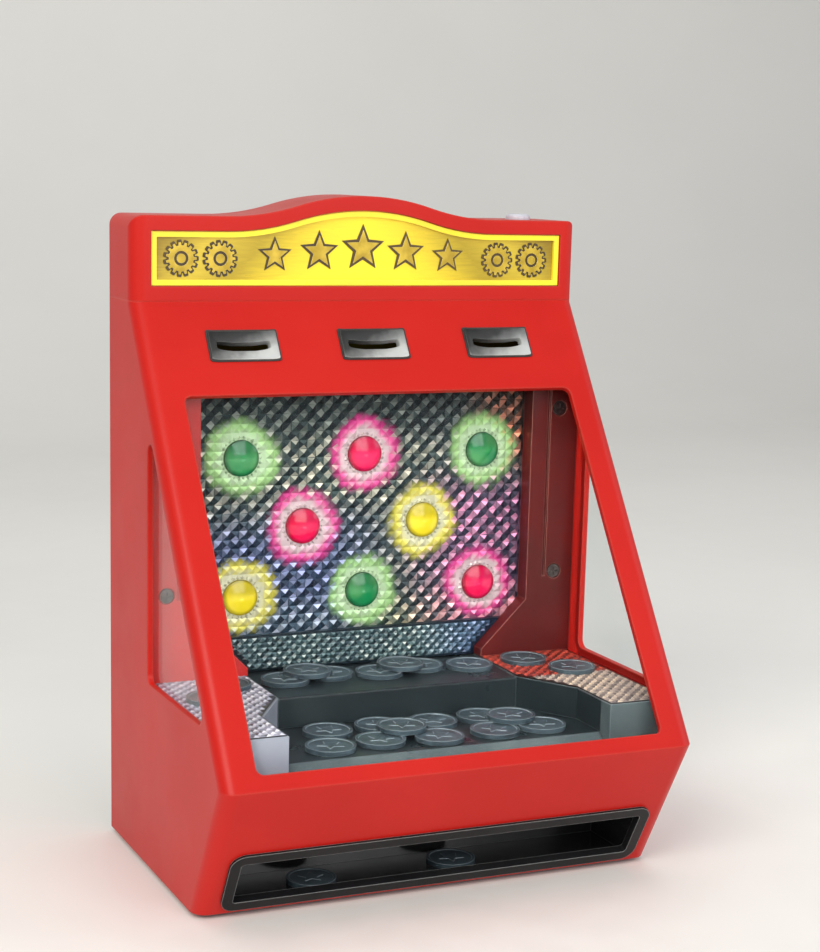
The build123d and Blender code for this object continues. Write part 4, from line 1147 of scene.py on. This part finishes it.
@dataclass
class FoilFacets:
    """Rows of small square prisms that stand on the foil sheets.

    Attributes:
        pitch: side of one prism.
        rise: its height.
        tilt: how far each may lean, in radians.
        chance: share of a facet's tone that is left to chance.
        corner: how far out its corners are felt for, beside the pitch.
        feel_back: how far in front of the sheet that starts.
        feel_length: how far it reaches.
        lit: tone of the lightest face, as painted light.
        darker: how much darker each next face is, as painted shade.
        darkest: tone of the darkest face, the most painted shade.
        back_width: width that the backboard's prisms cover.
        bare: bare ring round a light, beside the lens's radius.
    """

    pitch: float = 3.7 * MM
    rise: float = 0.8 * MM
    tilt: float = 0.05
    chance: float = 0.34
    corner: float = 0.46
    feel_back: float = 2.0 * MM
    feel_length: float = 3.0 * MM
    lit: float = 0.66
    darker: float = 0.22
    darkest: float = 0.04
    back_width: float = 150.0 * MM
    bare: float = 1.24

    def _tree(self) -> ShapeTree:
        """Builds the tree that sets prisms on a grid wherever the sheet is under them.

        Returns:
            The tree.
        """
        tree = ShapeTree(
            "foil_prisms", Pitch="Float", Rise="Float", Tilt="Float", Columns="Int", Rows="Int",
            Middle="Vector", Turn="Vector", Inward="Vector", Sheet="Object", Lights="Object",
            Clear_Radius="Float", Chance="Float", Seed="Int", Material="Material")
        web, given = tree.web, tree.given
        pitch, rows = given["Pitch"], given["Rows"]
        grid = web.add("GeometryNodeMeshGrid", None, {
            "Size X": web.maths("MULTIPLY", given["Columns"], pitch),
            "Size Y": web.maths("MULTIPLY", rows, pitch),
            "Vertices X": web.maths("ADD", given["Columns"], 1.0),
            "Vertices Y": web.maths("ADD", rows, 1.0),
        })
        index = tree.index()
        column = web.maths("FLOOR", web.maths("DIVIDE", index, rows))
        odd = web.maths("MODULO", web.maths("ADD", column, web.maths("MODULO", index, rows)), 2.0)
        points = tree.mark(tree.points(grid.outputs[0], "FACES"), "odd", odd, "POINT")
        points = tree.placed(points, Translation=given["Middle"], Rotation=given["Turn"])
        kept = web.add("GeometryNodeDeleteGeometry", {"domain": "POINT"}, {
            "Geometry": points, "Selection": web.maths("LESS_THAN", self._on_sheet(tree), 0.5),
        })
        prism = tree.pyramid(web.maths("MULTIPLY", pitch, math.sqrt(0.5)), given["Rise"])
        prism = tree.placed(prism, Rotation=(0.0, 0.0, math.pi / 4))
        tilt, other = given["Tilt"], web.maths("MULTIPLY", given["Tilt"], -1.0)
        lean = tree.chance(web.joined(other, other), web.joined(tilt, tilt))
        turn = web.add("FunctionNodeRotateEuler", {"space": "LOCAL"}, {
            "Rotation": given["Turn"], "Rotate By": lean,
        })
        prisms = tree.real(tree.copies(kept.outputs[0], prism, Rotation=turn.outputs[0]))
        tree.close(tree.mark(prisms, "facet", self._side_shade_and_tone(tree), "FACE"))
        return tree

    def _on_sheet(self, tree: ShapeTree) -> Socket:
        """Feels for the sheet under a prism's corners, away from the lights.

        Args:
            tree: the tree.

        Returns:
            1 where a prism can stand, and 0 elsewhere.
        """
        web, given = tree.web, tree.given
        where = web.add("GeometryNodeInputPosition").outputs[0]
        sheet = tree.shape_of(given["Sheet"])
        back = web.vector("SCALE", given["Inward"])
        web.feed(back.node, "Scale", -self.feel_back)
        near = web.add("GeometryNodeProximity", {"target_element": "POINTS"},
                       {0: tree.shape_of(given["Lights"])})
        keep = web.maths("GREATER_THAN", near.outputs["Distance"], given["Clear Radius"])
        for i, j in ((-1, -1), (-1, 1), (1, -1), (1, 1)):
            x = web.maths("MULTIPLY", given["Pitch"], self.corner * i)
            y = web.maths("MULTIPLY", given["Pitch"], self.corner * j)
            turned = web.add("ShaderNodeVectorRotate", {"rotation_type": "EULER_XYZ"}, {
                "Vector": web.joined(x, y), "Rotation": given["Turn"],
            })
            start = web.vector("ADD", web.vector("ADD", where, turned.outputs[0]), back)
            ray = web.add("GeometryNodeRaycast", None, {
                "Target Geometry": sheet, "Source Position": start,
                "Ray Direction": given["Inward"], "Ray Length": self.feel_length,
            })
            keep = web.maths("MULTIPLY", keep, ray.outputs["Is Hit"])
        return keep

    def _side_shade_and_tone(self, tree: ShapeTree) -> Socket:
        """The tone of each face: painted light and shade by its side of the prism, turned on odd
        ones, plus a random share.

        Args:
            tree: the tree.

        Returns:
            The tone.
        """
        web = tree.web
        odd = web.add("GeometryNodeInputNamedAttribute", {"data_type": "FLOAT"}, {"Name": "odd"})
        # Painted light and shade: each side of a prism gets a fixed tone from lightest to darkest,
        # plus a random share.
        face = web.maths("MODULO", tree.index(), 5.0)
        side = web.maths("ADD", face, web.maths("MULTIPLY", odd.outputs[0], 2.0))
        side = web.maths("MODULO", side, 4.0)
        lit = web.maths("SUBTRACT", self.lit, web.maths("MULTIPLY", side, self.darker))
        lit = web.maths("MAXIMUM", lit, self.darkest)
        return web.maths("ADD", lit, web.maths("MULTIPLY", tree.chance(), tree.given["Chance"]))

    def _sheets(self, panel: LightPanel) -> list[FoilSheet]:
        """The backboard, the skirt and the ledges.

        Args:
            panel: the lights to leave bare.

        Returns:
            The sheets.
        """
        low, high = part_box("backboard")
        skirt_low, skirt_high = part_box("pusher_skirt")
        ledge_low, ledge_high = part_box("ledge_foils")
        foot = skirt_high.z
        return [
            FoilSheet("backboard", "foil_back_facets", "foil_facets",
                      Vector((0.0, low.y, (high.z + foot) / 2)),
                      (self.back_width, high.z - foot), 3, clear=panel.lens_radius * self.bare),
            FoilSheet("pusher_skirt", "foil_skirt_facets", "foil_skirt",
                      Vector((0.0, skirt_low.y, (skirt_low.z + foot) / 2)),
                      (skirt_high.x - skirt_low.x, foot - skirt_low.z), 7, scale=0.6),
            FoilSheet("ledge_foils", "foil_ledge_facets", "foil_ledge",
                      Vector((0.0, (ledge_low.y + ledge_high.y) / 2, ledge_high.z)),
                      (ledge_high.x - ledge_low.x, ledge_high.y - ledge_low.y), 11,
                      upright=False, scale=0.7),
        ]

    def make(self, finishes: Finishes, panel: LightPanel) -> None:
        """Covers every sheet.

        Args:
            finishes: the materials.
            panel: the lights to leave bare.
        """
        tree = self._tree()
        lights = mesh_piece("light_points", [(x, panel.face_y, z) for x, z, _ in panel.spots])
        for sheet in self._sheets(panel):
            pitch, material = self.pitch * sheet.scale, finishes[sheet.finish]
            piece = tree.run(
                sheet.name, Pitch=pitch, Rise=self.rise * sheet.scale, Tilt=self.tilt,
                Columns=int(sheet.size[0] / pitch), Rows=int(sheet.size[1] / pitch),
                Middle=sheet.middle, Turn=Vector((math.pi / 2 if sheet.upright else 0.0, 0.0, 0.0)),
                Inward=Vector((0.0, 1.0, 0.0) if sheet.upright else (0.0, 0.0, -1.0)),
                Sheet=bpy.data.objects[sheet.node], Lights=lights, Clear_Radius=sheet.clear,
                Chance=self.chance, Seed=sheet.seed, Material=material)
            finish_piece(piece, material)
        bpy.data.objects.remove(lights)


@dataclass
class LightCollars:
    """Ring of small rays round each lens."""

    rays: int = 26
    inner: float = 7.3 * MM
    outer: float = 9.7 * MM
    rise: float = 0.9 * MM
    seed: int = 5
    smallest: tuple[float, float, float] = (0.45, 0.5, 0.5)

    def _tree(self) -> ShapeTree:
        """Builds the tree that sets a ring of rays on each point of a mesh.

        Returns:
            The tree.
        """
        tree = ShapeTree("ray_collar", Rays="Int", Inner="Float", Outer="Float", Rise="Float",
                         Seed="Int", Places="Object", Material="Material")
        web, given = tree.web, tree.given
        rays, inner, outer = given["Rays"], given["Inner"], given["Outer"]
        middle = web.maths("MULTIPLY", web.maths("ADD", inner, outer), 0.5)
        ring = web.add("GeometryNodeMeshCircle", None, {"Vertices": rays, "Radius": middle})
        length = web.maths("MULTIPLY", web.maths("SUBTRACT", outer, inner), 0.5)
        width = web.maths("DIVIDE", web.maths("MULTIPLY", middle, math.pi), rays)
        ray = tree.placed(tree.pyramid(1.0, given["Rise"]), Scale=web.joined(length, width, 1.0))
        angle = web.maths("DIVIDE", web.maths("MULTIPLY", tree.index(), 2 * math.pi), rays)
        collar = tree.copies(tree.points(ring.outputs[0], "VERTICES"), ray,
                             Rotation=web.joined(z=angle),
                             Scale=tree.chance(self.smallest, (1.0, 1.0, 1.0)))
        collar = tree.placed(collar, Rotation=(math.pi / 2, 0.0, 0.0))
        places = tree.points(tree.shape_of(given["Places"]), "VERTICES")
        collars = tree.real(tree.copies(places, collar))
        tree.close(tree.mark(collars, "facet", tree.chance(), "FACE"))
        return tree

    def make(self, finishes: Finishes, panel: LightPanel) -> None:
        """Builds one piece for each colour.

        Args:
            finishes: the materials.
            panel: where the lights are.
        """
        tree, material = self._tree(), finishes["foil_spikes"]
        for light in Light:
            places = mesh_piece("collar_places", [
                (x, panel.face_y, z) for x, z, kind in panel.spots if kind is light])
            piece = tree.run("light_collars_" + light.word, Rays=self.rays, Inner=self.inner,
                             Outer=self.outer, Rise=self.rise, Seed=self.seed, Places=places,
                             Material=material)
            bpy.data.objects.remove(places)
            finish_piece(piece, material)


@dataclass
class SlotPlates:
    """Dished metal plates round the three coin slots, each with a curved mouth.

    Nose and crease are y and z of the slope's foot and head, and along is how far
    up it the plates sit. Flange, body and mouth are widths and heights. Sag and bow
    are how far the middles of the mouth and of the flange hang.
    """

    pitch: float = 57.0 * MM
    along: float = 185.0 * MM
    nose: tuple[float, float] = (-74.0 * MM, 60.0 * MM)
    crease: tuple[float, float] = (42.0 * MM, 230.0 * MM)
    flange: tuple[float, float] = (29.0 * MM, 13.0 * MM)
    body: tuple[float, float] = (25.6 * MM, 10.1 * MM)
    mouth: tuple[float, float] = (22.4 * MM, 3.4 * MM)
    sag: float = 1.2 * MM
    bow: float = 0.7 * MM
    # The black ring round each plate is a painted shadow, not a real part.
    shadow_ring: float = 0.7 * MM
    shadow_ring_rise: float = 0.5 * MM
    rise: float = 1.0 * MM
    depth: float = 2.2 * MM
    square: float = 0.08
    corners: int = 18
    sharp: float = 38.0
    names: tuple[str, ...] = ("left", "centre", "right")

    def _ring(self, size: tuple[float, float], more: tuple[float, float], level: float,
              square: float, sag: float) -> list[Vector]:
        """A rounded rectangle's points, sagging in the middle.

        Args:
            size: width and height, in metres.
            more: what is added to them, in millimetres.
            level: height over the cabinet's skin.
            square: how square its corners are.
            sag: how far the middle hangs below the ends.

        Returns:
            The ring's points in the plate's own frame.
        """
        width, height = size[0] + more[0] * MM, size[1] + more[1] * MM
        ring = []
        count = 4 * self.corners
        for i in range(count):
            a = 2 * math.pi * (i + 0.5) / count
            c, s = math.cos(a), math.sin(a)
            x = math.copysign(abs(c) ** square, c) * width / 2
            y = math.copysign(abs(s) ** square, s) * height / 2
            y += sag * ((2 * x / width) ** 2 - 0.5)
            ring.append(Vector((x, y, level)))
        return ring

    def _plate(self) -> list[list[Vector]]:
        """The plate's outline, from its outer foot over the front and down the mouth.

        Returns:
            Its rings.
        """
        top, foot, skin = self.rise, -self.depth, 0.02 * MM
        steps = (
            (self.flange, (0.0, 0.0), skin, self.square, self.bow),
            (self.flange, (0.0, 0.0), top - 0.25 * MM, self.square, self.bow),
            (self.flange, (-0.5, -0.5), top, self.square, self.bow),
            (self.flange, (-2.4, -2.4), top, 0.10, self.bow),
            (self.mouth, (2.6, 3.2), top - 0.35 * MM, 0.2, self.sag * 0.8),
            (self.mouth, (0.6, 0.6), top - 0.6 * MM, 0.3, self.sag),
            (self.mouth, (0.0, 0.0), top - 1.2 * MM, 0.32, self.sag),
            (self.mouth, (0.0, 0.0), foot, 0.32, self.sag),
            (self.body, (0.0, 0.0), foot, 0.16, 0.0),
            (self.body, (0.0, 0.0), skin, 0.16, 0.0),
        )
        return [self._ring(*step) for step in steps]

    def _shadow_ring(self) -> list[list[Vector]]:
        """The outline of the black ring round the flange, which stands in for the plate's cast
        shadow.

        Returns:
            Its rings.
        """
        over, skin = 2 * self.shadow_ring / MM, 0.01 * MM
        steps = ((over, skin), (over, self.shadow_ring_rise), (0.02, self.shadow_ring_rise), (0.02, skin))
        return [self._ring(self.flange, (more, more), level, self.square, self.bow)
                for more, level in steps]

    def make(self, finishes: Finishes) -> None:
        """Builds the three plates in place of the plain ones, and round each a black ring that
        stands in for its cast shadow.

        Args:
            finishes: the materials.
        """
        run, climb = self.crease[0] - self.nose[0], self.crease[1] - self.nose[1]
        length = math.hypot(run, climb)
        up = Vector((0.0, run, climb)) / length
        out = Vector((0.0, -climb, run)) / length
        turn = Matrix((Vector((1.0, 0.0, 0.0)), up, out)).transposed().to_4x4()
        middle = Vector((0.0, *self.nose)) + up * self.along
        for index, name in enumerate(self.names):
            aside = Vector(((index - 1) * self.pitch, 0.0, 0.0))
            place = Matrix.Translation(middle + aside) @ turn
            plate = loft("slot_plate_" + name, self._plate(), place)
            for polygon in plate.data.polygons:
                polygon.use_smooth = True
            plate.data.set_sharp_from_angle(angle=math.radians(self.sharp))
            finish_piece(plate, finishes["bezel_silver"], ["slot_bezel_" + name])
            # A black ring round the plate, as painted shadow.
            shadow_ring = loft("slot_seal_" + name, self._shadow_ring(), place)
            finish_piece(shadow_ring, finishes["rubber"])


@dataclass
class SignOutlines:
    """Dark outlines laid under the raised stars and cogs of the sign.

    Growth is an outline's size beside its star's, waist a star's inner radius beside
    its outer one, and crest how far the sign's edge rises over its middle. A tooth's
    corners are given by their turn, in teeth, and their radius beside the cog's.
    """

    spacing: float = 19.5 * MM
    size: float = 7.6 * MM
    shrink: float = 0.12
    waist: float = 0.46
    middle_z: float = 247.0 * MM
    face_y: float = 44.4 * MM
    thickness: float = 0.35 * MM
    sink: float = 0.01 * MM
    growth: float = 1.32
    crest: float = 9.0 * MM
    count: int = 5
    cogs: tuple[float, ...] = (-79.0 * MM, -62.5 * MM, 62.5 * MM, 79.0 * MM)
    cog_radius: float = 6.4 * MM
    cog_teeth: int = 15
    cog_tooth: tuple[tuple[float, float], ...] = (
        (-0.34, 1.10), (-0.24, 1.17), (0.24, 1.17), (0.34, 1.10), (0.40, 0.93), (0.60, 0.93))
    hub_radius: float = 1.9 * MM
    hub_sides: int = 20

    def _slab(self, name: str, outlines: Sequence[Sequence[tuple[float, float]]],
              front: float) -> Piece:
        """Flat plates on the sign's face, one for each outline.

        Args:
            name: the piece's name.
            outlines: x and z of each plate's corners.
            front: how far they stand out of the face.

        Returns:
            The piece.
        """
        points: list[Place] = []
        faces: list[tuple[int, ...]] = []
        for outline in outlines:
            first, count = len(points), len(outline)
            for y in (self.face_y - front, self.face_y - self.sink):
                points += [(x, y, z) for x, z in outline]
            faces.append(tuple(first + i for i in range(count)))
            faces.append(tuple(first + 2 * count - 1 - i for i in range(count)))
            for i in range(count):
                j = (i + 1) % count
                faces.append((first + i, first + count + i, first + count + j, first + j))
        return mesh_piece(name, points, faces)

    @staticmethod
    def _round(x0: float, z0: float,
               steps: Iterable[tuple[float, float]]) -> list[tuple[float, float]]:
        """Points round a middle.

        Args:
            x0: the middle's x.
            z0: the middle's z.
            steps: angle and radius of each point.

        Returns:
            Their x and z.
        """
        return [(x0 + radius * math.cos(a), z0 + radius * math.sin(a)) for a, radius in steps]

    def _stars(self) -> list[list[tuple[float, float]]]:
        """The stars, each a little larger than the raised one over it.

        Returns:
            x and z of each star's corners.
        """
        stars = []
        for step in range(self.count):
            index = step - self.count // 2
            size = self.size * (1.0 - self.shrink * abs(index)) * self.growth
            z0 = self.middle_z + self.crest * (1 - abs(index) / 3) * 0.5
            stars.append(self._round(index * self.spacing, z0, [
                (math.pi / 2 + corner * math.pi / 5, self.waist * size if corner % 2 else size)
                for corner in range(10)
            ]))
        return stars

    def make(self, finishes: Finishes) -> None:
        """Builds the outlines of the cogs, the hubs in their holes and the stars' outlines.

        Args:
            finishes: the materials.
        """
        tooth = 2 * math.pi / self.cog_teeth
        cog = [((index + turn) * tooth, reach * self.cog_radius)
               for index in range(self.cog_teeth) for turn, reach in self.cog_tooth]
        hub = [(2 * math.pi * i / self.hub_sides, self.hub_radius) for i in range(self.hub_sides)]
        cogs = [self._round(x, self.middle_z, cog) for x in self.cogs]
        hubs = [self._round(x, self.middle_z, hub) for x in self.cogs]
        thick, dark = self.thickness, finishes["outline_dark"]
        finish_piece(self._slab("sign_cog_outlines", cogs, thick), dark)
        finish_piece(self._slab("sign_cog_hubs", hubs, 2 * thick),
                     finishes["star_gold"])
        finish_piece(self._slab("sign_star_outlines", self._stars(), thick), dark)


class CadDresser:
    """Gives every CAD node its detailed material."""

    special = {
        # The left inner frame gets the lit red and the right one the darker inner_red: one red in a
        # lit and a painted-shade copy.
        "inner_frame_left": "side_red", "inner_frame_right": "inner_red",
        "pusher_skirt": "foil_skirt", "ledge_foils": "foil_ledge",
        "side_ledge_left": "ledge_grey", "frame_screws": "dark_screw",
        "tray_bezel": "tray_rim", "marquee_stars": "star_gold", "marquee_cogs": "star_gold",
    }

    def make(self, frame: dict, finishes: Finishes) -> None:
        """Dresses each node by its slot in the record.

        Args:
            finishes: the materials.
        """
        for part in frame["record"]["subparts"]:
            node = part["node"]
            name = self.special.get(node, part["material_slot"])
            mesh = frame["nodes"][node].data
            mesh.materials.clear()
            mesh.materials.append(finishes[name])
            LOG.info("%s: dressed as %s", node, name)


# ----------------------------------------------------------------------- stage
@dataclass(frozen=True)
class Lamp:
    """One soft square lamp, its power in watts."""

    name: str
    place: Place
    aim: Place
    size: float
    power: float
    tint: Colour = (1.0, 1.0, 1.0)

    def make(self) -> None:
        """Hangs the lamp."""
        data = bpy.data.lights.new(self.name, "AREA")
        data.size, data.energy, data.color = self.size, self.power, self.tint
        lamp = add_piece(self.name, data)
        lamp.location = self.place
        aim = Vector(self.aim) - Vector(self.place)
        lamp.rotation_euler = aim.to_track_quat("-Z", "Y").to_euler()


@dataclass
class Studio:
    """Floor, soft lights and the camera, its lens in millimetres and angles in radians."""

    focal: float = 75.63
    sensor: float = 36.0
    spot: Place = (-0.3281, -0.7316, 0.2847)
    yaw: float = -0.4274
    pitch: float = -0.1932
    roll: float = 0.0258
    shift: float = 0.088
    floor_reach: float = 3.0
    floor_back: float = 1.2
    floor_bend: float = 0.6
    floor_rise: float = 2.4
    floor_steps: int = 12
    sky: Colour = (0.86, 0.87, 0.90)
    sky_strength: float = 0.42
    lamps: tuple[Lamp, ...] = (
        Lamp("key", (-1.1, -1.0, 1.1), (0.0, 0.0, 0.13), 0.9, 19.0, (1.0, 0.96, 0.90)),
        Lamp("front", (0.25, -1.5, 0.7), (0.0, 0.0, 0.12), 1.0, 9.0),
        Lamp("fill", (1.3, -0.5, 0.7), (0.0, 0.0, 0.12), 0.9, 4.5, (0.95, 0.97, 1.0)),
        Lamp("top", (0.0, 0.1, 1.5), (0.0, 0.0, 0.1), 1.2, 5.0),
    )

    def floor(self, material: Material) -> None:
        """Lays a plain floor that curves up behind the machine.

        Args:
            material: its material.
        """
        reach, bend, steps = self.floor_reach, self.floor_bend, self.floor_steps
        line = [(-reach, 0.0)]
        for a in (math.pi / 2 * i / steps for i in range(steps + 1)):
            line.append((self.floor_back + bend * math.sin(a), bend - bend * math.cos(a)))
        line.append((self.floor_back + bend, self.floor_rise))
        points = [(x, y, z) for y, z in line for x in (-reach, reach)]
        faces = [(2 * i, 2 * i + 1, 2 * i + 3, 2 * i + 2) for i in range(len(line) - 1)]
        floor = mesh_piece("floor", points, faces)
        floor.data.materials.append(material)
        for polygon in floor.data.polygons:
            polygon.use_smooth = True

    def camera(self) -> None:
        """Sets the camera at the viewing angle."""
        data = bpy.data.cameras.new("camera")
        data.sensor_width = self.sensor
        data.lens = self.focal
        data.shift_y = self.shift
        data.clip_start = 10 * MM
        camera = add_piece("camera", data)
        cp, sp = math.cos(self.pitch), math.sin(self.pitch)
        ahead = Vector((-math.sin(self.yaw) * cp, math.cos(self.yaw) * cp, sp))
        right = Vector((math.cos(self.yaw), math.sin(self.yaw), 0.0))
        up = right.cross(ahead)
        cr, sr = math.cos(self.roll), math.sin(self.roll)
        side, top = right * cr + up * sr, up * cr - right * sr
        turn = Matrix((side, top, -ahead)).transposed().to_4x4()
        camera.matrix_world = Matrix.Translation(self.spot) @ turn
        bpy.context.scene.camera = camera

    def make(self, finishes: Finishes) -> None:
        """Sets up the whole stage.

        Args:
            finishes: the materials.
        """
        self.camera()
        self.floor(finishes["floor_pale"])
        for lamp in self.lamps:
            lamp.make()
        world = bpy.data.worlds.new("studio")
        world.use_nodes = True
        world.node_tree.nodes.clear()
        web = Web(world.node_tree)
        sky = web.add("ShaderNodeBackground", None, {
            "Color": solid(self.sky), "Strength": self.sky_strength,
        })
        web.add("ShaderNodeOutputWorld", None, {"Surface": sky.outputs[0]})
        bpy.context.scene.world = world


def main() -> None:
    """Loads the frame and builds everything around it."""
    logging.basicConfig(level=logging.INFO, format="%(name)s: %(message)s", stream=sys.stdout)
    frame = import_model()
    panel = LightPanel()
    finishes = Finishes(EffectGroups(), panel)
    CadDresser().make(frame, finishes)
    Studio().make(finishes)
    FoilFacets().make(finishes, panel)
    LightCollars().make(finishes, panel)
    SlotPlates().make(finishes)
    SignOutlines().make(finishes)
    bpy.context.scene.view_settings.view_transform = "Standard"


if __name__ == "__main__":
    main()
